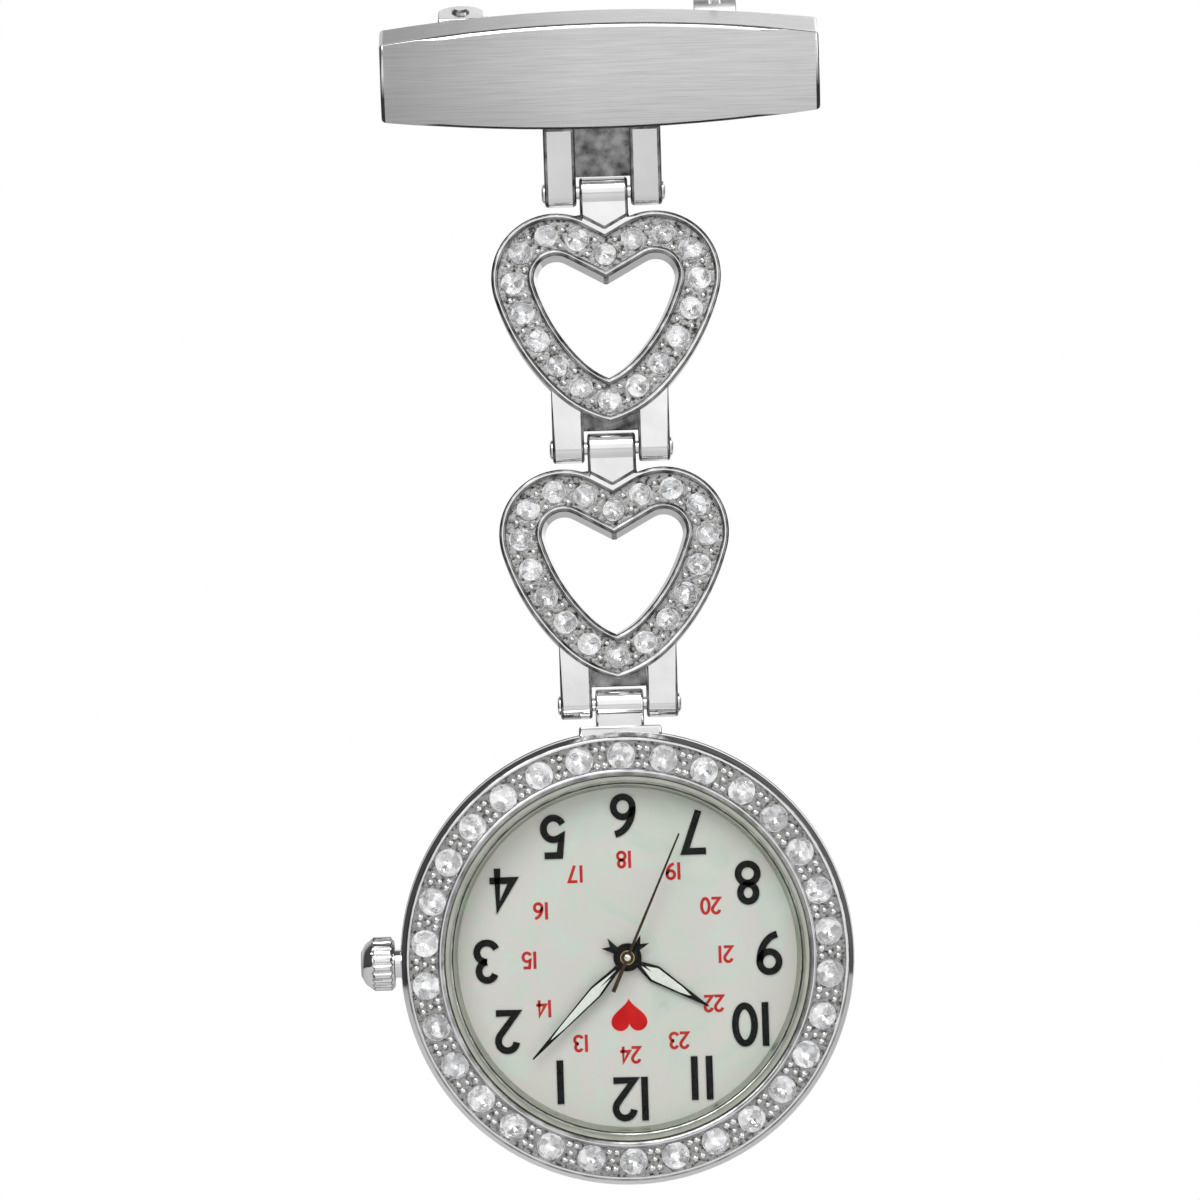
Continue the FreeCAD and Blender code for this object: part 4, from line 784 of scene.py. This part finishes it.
# Each figure has its width and its pen strokes, in a cell one unit high. A closed stroke ends where
# it starts.
FIGURES = {
    "0": (0.6, [arc(0.3, 0.5, 0.22, 0.43, 0, 360, 28)]),
    "1": (0.34, [[(0.17, 0.0), (0.17, 1.0)]]),
    "2": (0.6, [arc(0.29, 0.71, 0.21, 0.22, 172, -42) + [(0.07, 0.07), (0.54, 0.07)]]),
    "3": (0.6, [arc(0.27, 0.72, 0.19, 0.21, 160, -90), arc(0.27, 0.29, 0.23, 0.22, 90, -160)]),
    "4": (0.62, [[(0.42, 0.0), (0.42, 0.9), (0.06, 0.28), (0.6, 0.28)]]),
    "5": (0.6, [[(0.5, 0.93), (0.15, 0.93), (0.1, 0.5)] + arc(0.28, 0.32, 0.23, 0.25, 118, -155)]),
    "6": (0.6, [arc(0.3, 0.3, 0.22, 0.23, 0, 360, 24), arc(0.56, 0.3, 0.48, 0.63, 180, 98)]),
    "7": (0.6, [[(0.05, 0.93), (0.53, 0.93), (0.2, 0.0)]]),
    "8": (0.6, [arc(0.3, 0.73, 0.18, 0.2, 0, 360, 24), arc(0.3, 0.29, 0.22, 0.22, 0, 360, 24)]),
    "9": (0.6, [arc(0.3, 0.7, 0.22, 0.23, 0, 360, 24), arc(0.04, 0.7, 0.48, 0.63, 0, -82)]),
}


def ribbon(bm, line, width, low, high, to_world):
    """Flat-topped stroke of a given width along a line, standing from low to high."""
    closed = math.dist(line[0], line[-1]) < 1e-6
    points = [Vector(point) for point in (line[:-1] if closed else line)]
    count = len(points)
    sides = []
    for index, point in enumerate(points):
        before = points[index - 1] if closed or index else point
        after = points[(index + 1) % count] if closed or index < count - 1 else point
        first = (point - before).normalized() if before != point else (after - point).normalized()
        last = (after - point).normalized() if after != point else first
        along = (first + last).normalized()
        reach = width / 2 / max(0.5, along.dot(first))
        across = Vector((-along.y, along.x)) * reach
        sides.append((point + across, point - across))
    corners = [[bm.verts.new(to_world(spot.x, spot.y, level))
                for spot, level in ((left, low), (left, high), (right, high), (right, low))]
               for left, right in sides]
    for index in range(count if closed else count - 1):
        here, there = corners[index], corners[(index + 1) % count]
        for step in range(4):
            after = (step + 1) % 4
            bm.faces.new((here[step], there[step], there[after], here[after]))
    if not closed:
        bm.faces.new(corners[0])
        bm.faces.new(corners[-1])


def figure(bm, text, x, y, height, stroke, raised_mm):
    """A number centred on a dial point, upright with 12 at its head."""
    total = sum(FIGURES[digit][0] for digit in text) * height
    left = x - total / 2
    high = DIAL_FACE + raised_mm * MM
    for digit in text:
        advance, strokes = FIGURES[digit]
        for line in strokes:
            placed = [(left + px * height, y + (py - 0.5) * height) for px, py in line]
            ribbon(bm, placed, stroke, PRINT_FOOT, high, on_dial)
        left += advance * height


def numbers(name, material, first, radius_share, height_mm, stroke_mm, raised_mm):
    """Twelve numbers round the dial, the first of them at one o'clock."""
    bm = bmesh.new()
    radius = DIAL_RADIUS * radius_share
    for hour in range(1, 13):
        angle = math.radians(30 * hour)
        figure(bm, str(first + hour - 1), radius * math.sin(angle), radius * math.cos(angle),
               height_mm * MM, stroke_mm * MM, raised_mm)
    return finished(name, bm, "watch", "dial", material)


numbers("hour_numbers", BLACK, first=1, radius_share=0.79, height_mm=2.9, stroke_mm=0.45, raised_mm=0.09)
numbers("day_numbers", RED, first=13, radius_share=0.545, height_mm=1.15, stroke_mm=0.2, raised_mm=0.02)


def heart_curve(width, steps=48):
    """Closed heart outline of a given width, point downwards."""
    unit = width / 32
    points = []
    for step in range(steps):
        t = 2 * math.pi * step / steps
        points.append((unit * 16 * math.sin(t) ** 3,
                       unit * (13 * math.cos(t) - 5 * math.cos(2 * t)
                               - 2 * math.cos(3 * t) - math.cos(4 * t))))
    return points


def emblem():
    """Small red heart printed between the centre and 12."""
    middle_y = DIAL_RADIUS * 0.335
    width = 2.4 * MM
    bm = bmesh.new()
    rings = []
    for scale, level in ((1.0, PRINT_FOOT), (1.0, DIAL_FACE + 0.03 * MM), (0.86, DIAL_FACE + 0.06 * MM)):
        rings.append([bm.verts.new(on_dial(x * scale, middle_y + y * scale, level))
                      for x, y in heart_curve(width)])
    bridge_rings(bm, rings)
    bm.faces.new(rings[0])
    bm.faces.new(rings[-1])
    return finished("red_heart_print", bm, "watch", "dial", EMBLEM_RED)


def bridge_rings(bm, rings):
    """Quads between neighbouring rings that have the same number of points."""
    for here, there in zip(rings, rings[1:]):
        for index in range(len(here)):
            after = (index + 1) % len(here)
            bm.faces.new((here[index], here[after], there[after], there[index]))


emblem()


# ---------------------------------------------------------------- hands

HAND_ANGLE = 20
HUB_CHAMFER = 0.06 * MM


def hand_reach(node):
    """Angle from 12, clockwise on the dial, of the far end of a CAD hand, and its length."""
    mesh = frame["nodes"][node].data
    far = max((vertex.co for vertex in mesh.vertices),
              key=lambda spot: math.hypot(spot.x - WATCH_CENTRE.x, spot.z - WATCH_CENTRE.z))
    x, y = WATCH_CENTRE.x - far.x, WATCH_CENTRE.z - far.z
    return math.atan2(x, y), math.hypot(x, y)


def hand_place(node):
    """Function from hand coordinates, y towards the tip, to the world, and the hand's length."""
    angle, length = hand_reach(node)
    cos, sin = math.cos(angle), math.sin(angle)

    def to_world(x, y, level):
        return on_dial(x * cos + y * sin, -x * sin + y * cos, level)
    return to_world, length


def ridged(bm, right_side, low, high, ridge, to_world, notch=0.0):
    """Blade from its right-hand outline, tail to tip, ridged along the middle, its tail notched."""
    rows = []
    for index, (x, y) in enumerate(right_side):
        middle_y = y + (notch if index == 0 else 0.0)
        rows.append([bm.verts.new(to_world(*spot)) for spot in (
            (-x, y, low), (-x, y, high), (0, middle_y, high + ridge),
            (x, y, high), (x, y, low), (0, middle_y, low))])
    for here, there in zip(rows, rows[1:]):
        for step in range(6):
            after = (step + 1) % 6
            bm.faces.new((here[step], there[step], there[after], here[after]))
    for row in (rows[0], rows[-1]):
        bm.faces.new((row[0], row[1], row[2], row[5]))
        bm.faces.new((row[5], row[2], row[3], row[4]))


def disc(bm, radii_levels, to_world, hole=False, steps=40):
    """Turned button, or ring when it has a hole, round the hands' axis from (radius, level) pairs."""
    angles = [2 * math.pi * step / steps for step in range(steps)]
    rings = [[bm.verts.new(to_world(radius * math.cos(angle), radius * math.sin(angle), level))
              for angle in angles] for radius, level in radii_levels]
    if hole:
        rings.append(rings[0])
    bridge_rings(bm, rings)
    if not hole:
        bm.faces.new(rings[0])
        bm.faces.new(rings[-1])


def hand_levels(node):
    """Back and front of a CAD hand, measured out of the glass like the dial's heights."""
    near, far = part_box(node)
    return -far.y, -near.y


def leaf_hand(node, half_mm, tail_mm, hub_mm, bore_mm, lume_from, lume_to):
    """Black leaf hand with a flared, notched tail and a luminous window between shares of its length."""
    to_world, length = hand_place(node)
    low, high = hand_levels(node)
    top = low + (high - low) * 0.6
    half, tail, hub, bore = half_mm * MM, tail_mm * MM, hub_mm * MM, bore_mm * MM
    blade = [
        (0.4 * MM, -tail),
        (0.16 * MM, -0.2 * tail),
        (0.24 * MM, 0.14 * length),
        (half, 0.33 * length),
        (0.62 * half, 0.6 * length),
        (0.05 * MM, 0.995 * length),
    ]
    bm = bmesh.new()
    ridged(bm, blade, low, top, high - top, to_world, notch=0.45 * MM)
    disc(bm, [(bore, low), (hub, low), (hub, top), (hub - HUB_CHAMFER, high), (bore, high)],
         to_world, hole=True)
    piece = finished(node + "_leaf", bm, body_of(node), "hands", BLACK, smooth_angle=HAND_ANGLE)
    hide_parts(node)
    wide = 0.74 * half
    point = 0.03 * MM
    window = [
        (point, lume_from * length),
        (wide, 0.34 * length),
        (0.45 * wide, 0.85 * lume_to * length),
        (point, lume_to * length),
    ]
    bm = bmesh.new()
    ridged(bm, window, low + 0.01 * MM, high - 0.025 * MM, 0.03 * MM, to_world)
    finished(node + "_leaf_lume", bm, body_of(node), "hands", LUME, smooth_angle=HAND_ANGLE)


leaf_hand("hour_hand", half_mm=0.58, tail_mm=1.8, hub_mm=0.92, bore_mm=0.77, lume_from=0.17, lume_to=0.78)
leaf_hand("minute_hand", half_mm=0.45, tail_mm=1.7, hub_mm=0.78, bore_mm=0.49, lume_from=0.12, lume_to=0.8)


def second_hand():
    """Thin sweep hand with a heavier tail and a ring at its axis."""
    to_world, length = hand_place("second_hand")
    low, high = hand_levels("second_hand")
    top = low + (high - low) * 0.7
    bore, hub, cap = 0.24 * MM, 0.42 * MM, 0.21 * MM
    blade = [
        (0.14 * MM, -2.45 * MM),
        (0.12 * MM, -0.6 * MM),
        (0.1 * MM, 0.4 * MM),
        (0.08 * MM, 0.5 * length),
        (0.06 * MM, 0.99 * length),
    ]
    bm = bmesh.new()
    ridged(bm, blade, low, top, high - top, to_world)
    disc(bm, [(bore, low), (hub, low), (hub, top), (hub - HUB_CHAMFER, high), (bore, high)],
         to_world, hole=True)
    piece = finished("second_hand_sweep", bm, "seconds", "hands", BRONZE, smooth_angle=HAND_ANGLE)
    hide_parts("second_hand")
    bm = bmesh.new()
    disc(bm, [(cap, low), (cap, high), (0.14 * MM, high + 0.03 * MM), (0.05 * MM, high + 0.04 * MM)],
         to_world)
    finished("second_hand_pin_cap", bm, "seconds", "hands", SILVER)


second_hand()


# ---------------------------------------------------------------- studio

LOWEST, HIGHEST = (corner.z for corner in cad_bounds)
HEIGHT = HIGHEST - LOWEST
MIDDLE = (cad_bounds[0] + cad_bounds[1]) / 2


def floor():
    """Pale round table under the hanging watch, with a rounded rim."""
    radius = HEIGHT * 4
    top = LOWEST - HEIGHT * 0.35
    steps = 96
    angles = [2 * math.pi * step / steps for step in range(steps)]
    bm = bmesh.new()
    rings = []
    for share, drop in ((0.0001, 0.0), (0.98, 0.0), (0.995, 0.002), (1.0, 0.008), (1.0, 0.02)):
        reach = radius * share
        rings.append([bm.verts.new((MIDDLE.x + reach * math.cos(angle), MIDDLE.y + reach * math.sin(angle),
                                    top - drop)) for angle in angles])
    bridge_rings(bm, rings)
    bmesh.ops.recalc_face_normals(bm, faces=bm.faces)
    mesh = bpy.data.meshes.new("floor")
    bm.to_mesh(mesh)
    bm.free()
    mesh.materials.append(studio_floor("pale_floor"))
    piece = bpy.data.objects.new("floor", mesh)
    bpy.context.scene.collection.objects.link(piece)


def softbox(name, direction, distance, size, power):
    """Rectangular white light that faces the object."""
    data = bpy.data.lights.new(name, "AREA")
    data.shape = "RECTANGLE"
    data.size, data.size_y = size
    data.energy = power
    light = bpy.data.objects.new(name, data)
    light.location = MIDDLE + Vector(direction).normalized() * distance
    light.rotation_mode = "QUATERNION"
    light.rotation_quaternion = (light.location - MIDDLE).to_track_quat("Z", "Y")
    bpy.context.scene.collection.objects.link(light)


def tent():
    """White light tent: bright in front and behind, dim at the sides, below and on the left."""
    world = bpy.data.worlds.new("light_tent")
    bpy.context.scene.world = world
    air = Shading(world)
    direction = air.split(air.node("ShaderNodeTexCoord").outputs["Generated"])

    def band(axis, *stops):
        """Brightness from the minus end of an axis, position 0, to its plus end, position 1."""
        place = air.span(direction[axis], 0.0, 1.0, start=-1.0)
        return air.ramp(place, *((position, grey(level)) for position, level in stops))

    depth = band("Y", (0.0, 1.05), (0.13, 0.95), (0.22, 0.32), (0.3, 0.13), (0.7, 0.12), (0.78, 0.5),
                 (0.88, 1.0))
    rise = band("Z", (0.0, 0.35), (0.14, 0.92), (0.3, 0.85), (0.42, 0.62), (0.47, 0.72), (0.515, 1.0),
                (1.0, 1.0))
    across = band("X", (0.0, 0.5), (0.4, 0.55), (0.47, 0.72), (0.505, 1.0), (1.0, 1.0))
    shown = air.node("ShaderNodeMix", data_type="RGBA")
    shown.inputs["B"].default_value = (1, 1, 1, 1)
    air.link(air.node("ShaderNodeLightPath").outputs["Is Camera Ray"], shown.inputs["Factor"])
    air.link(air.times(air.times(depth, rise), across), shown.inputs["A"])
    air.link(shown.outputs["Result"], air.tree.nodes["Background"].inputs["Color"])


def camera():
    """Long lens straight in front; the picture is turned a little, as the watch hangs off plumb."""
    seen_height = HEIGHT * 1.008
    aim = MIDDLE + Vector((0.25 * MM, 0, -0.75 * MM))
    roll = math.radians(1.8)
    data = bpy.data.cameras.new("camera")
    data.lens = 270
    data.sensor_width = 36
    data.clip_start = 0.01
    distance = seen_height * data.lens / data.sensor_width
    shot = bpy.data.objects.new("camera", data)
    shot.location = (aim.x, -distance, aim.z)
    shot.rotation_euler = (math.pi / 2, roll, 0)
    bpy.context.scene.collection.objects.link(shot)
    bpy.context.scene.camera = shot


floor()
tent()
softbox("key_softbox", direction=(-0.5, -1.0, 1.1), distance=0.5, size=(0.4, 0.4), power=1.5)
softbox("side_softbox", direction=(1.2, -0.7, 0.2), distance=0.5, size=(0.15, 0.5), power=0.4)
camera()
bpy.context.scene.view_settings.view_transform = "Standard"
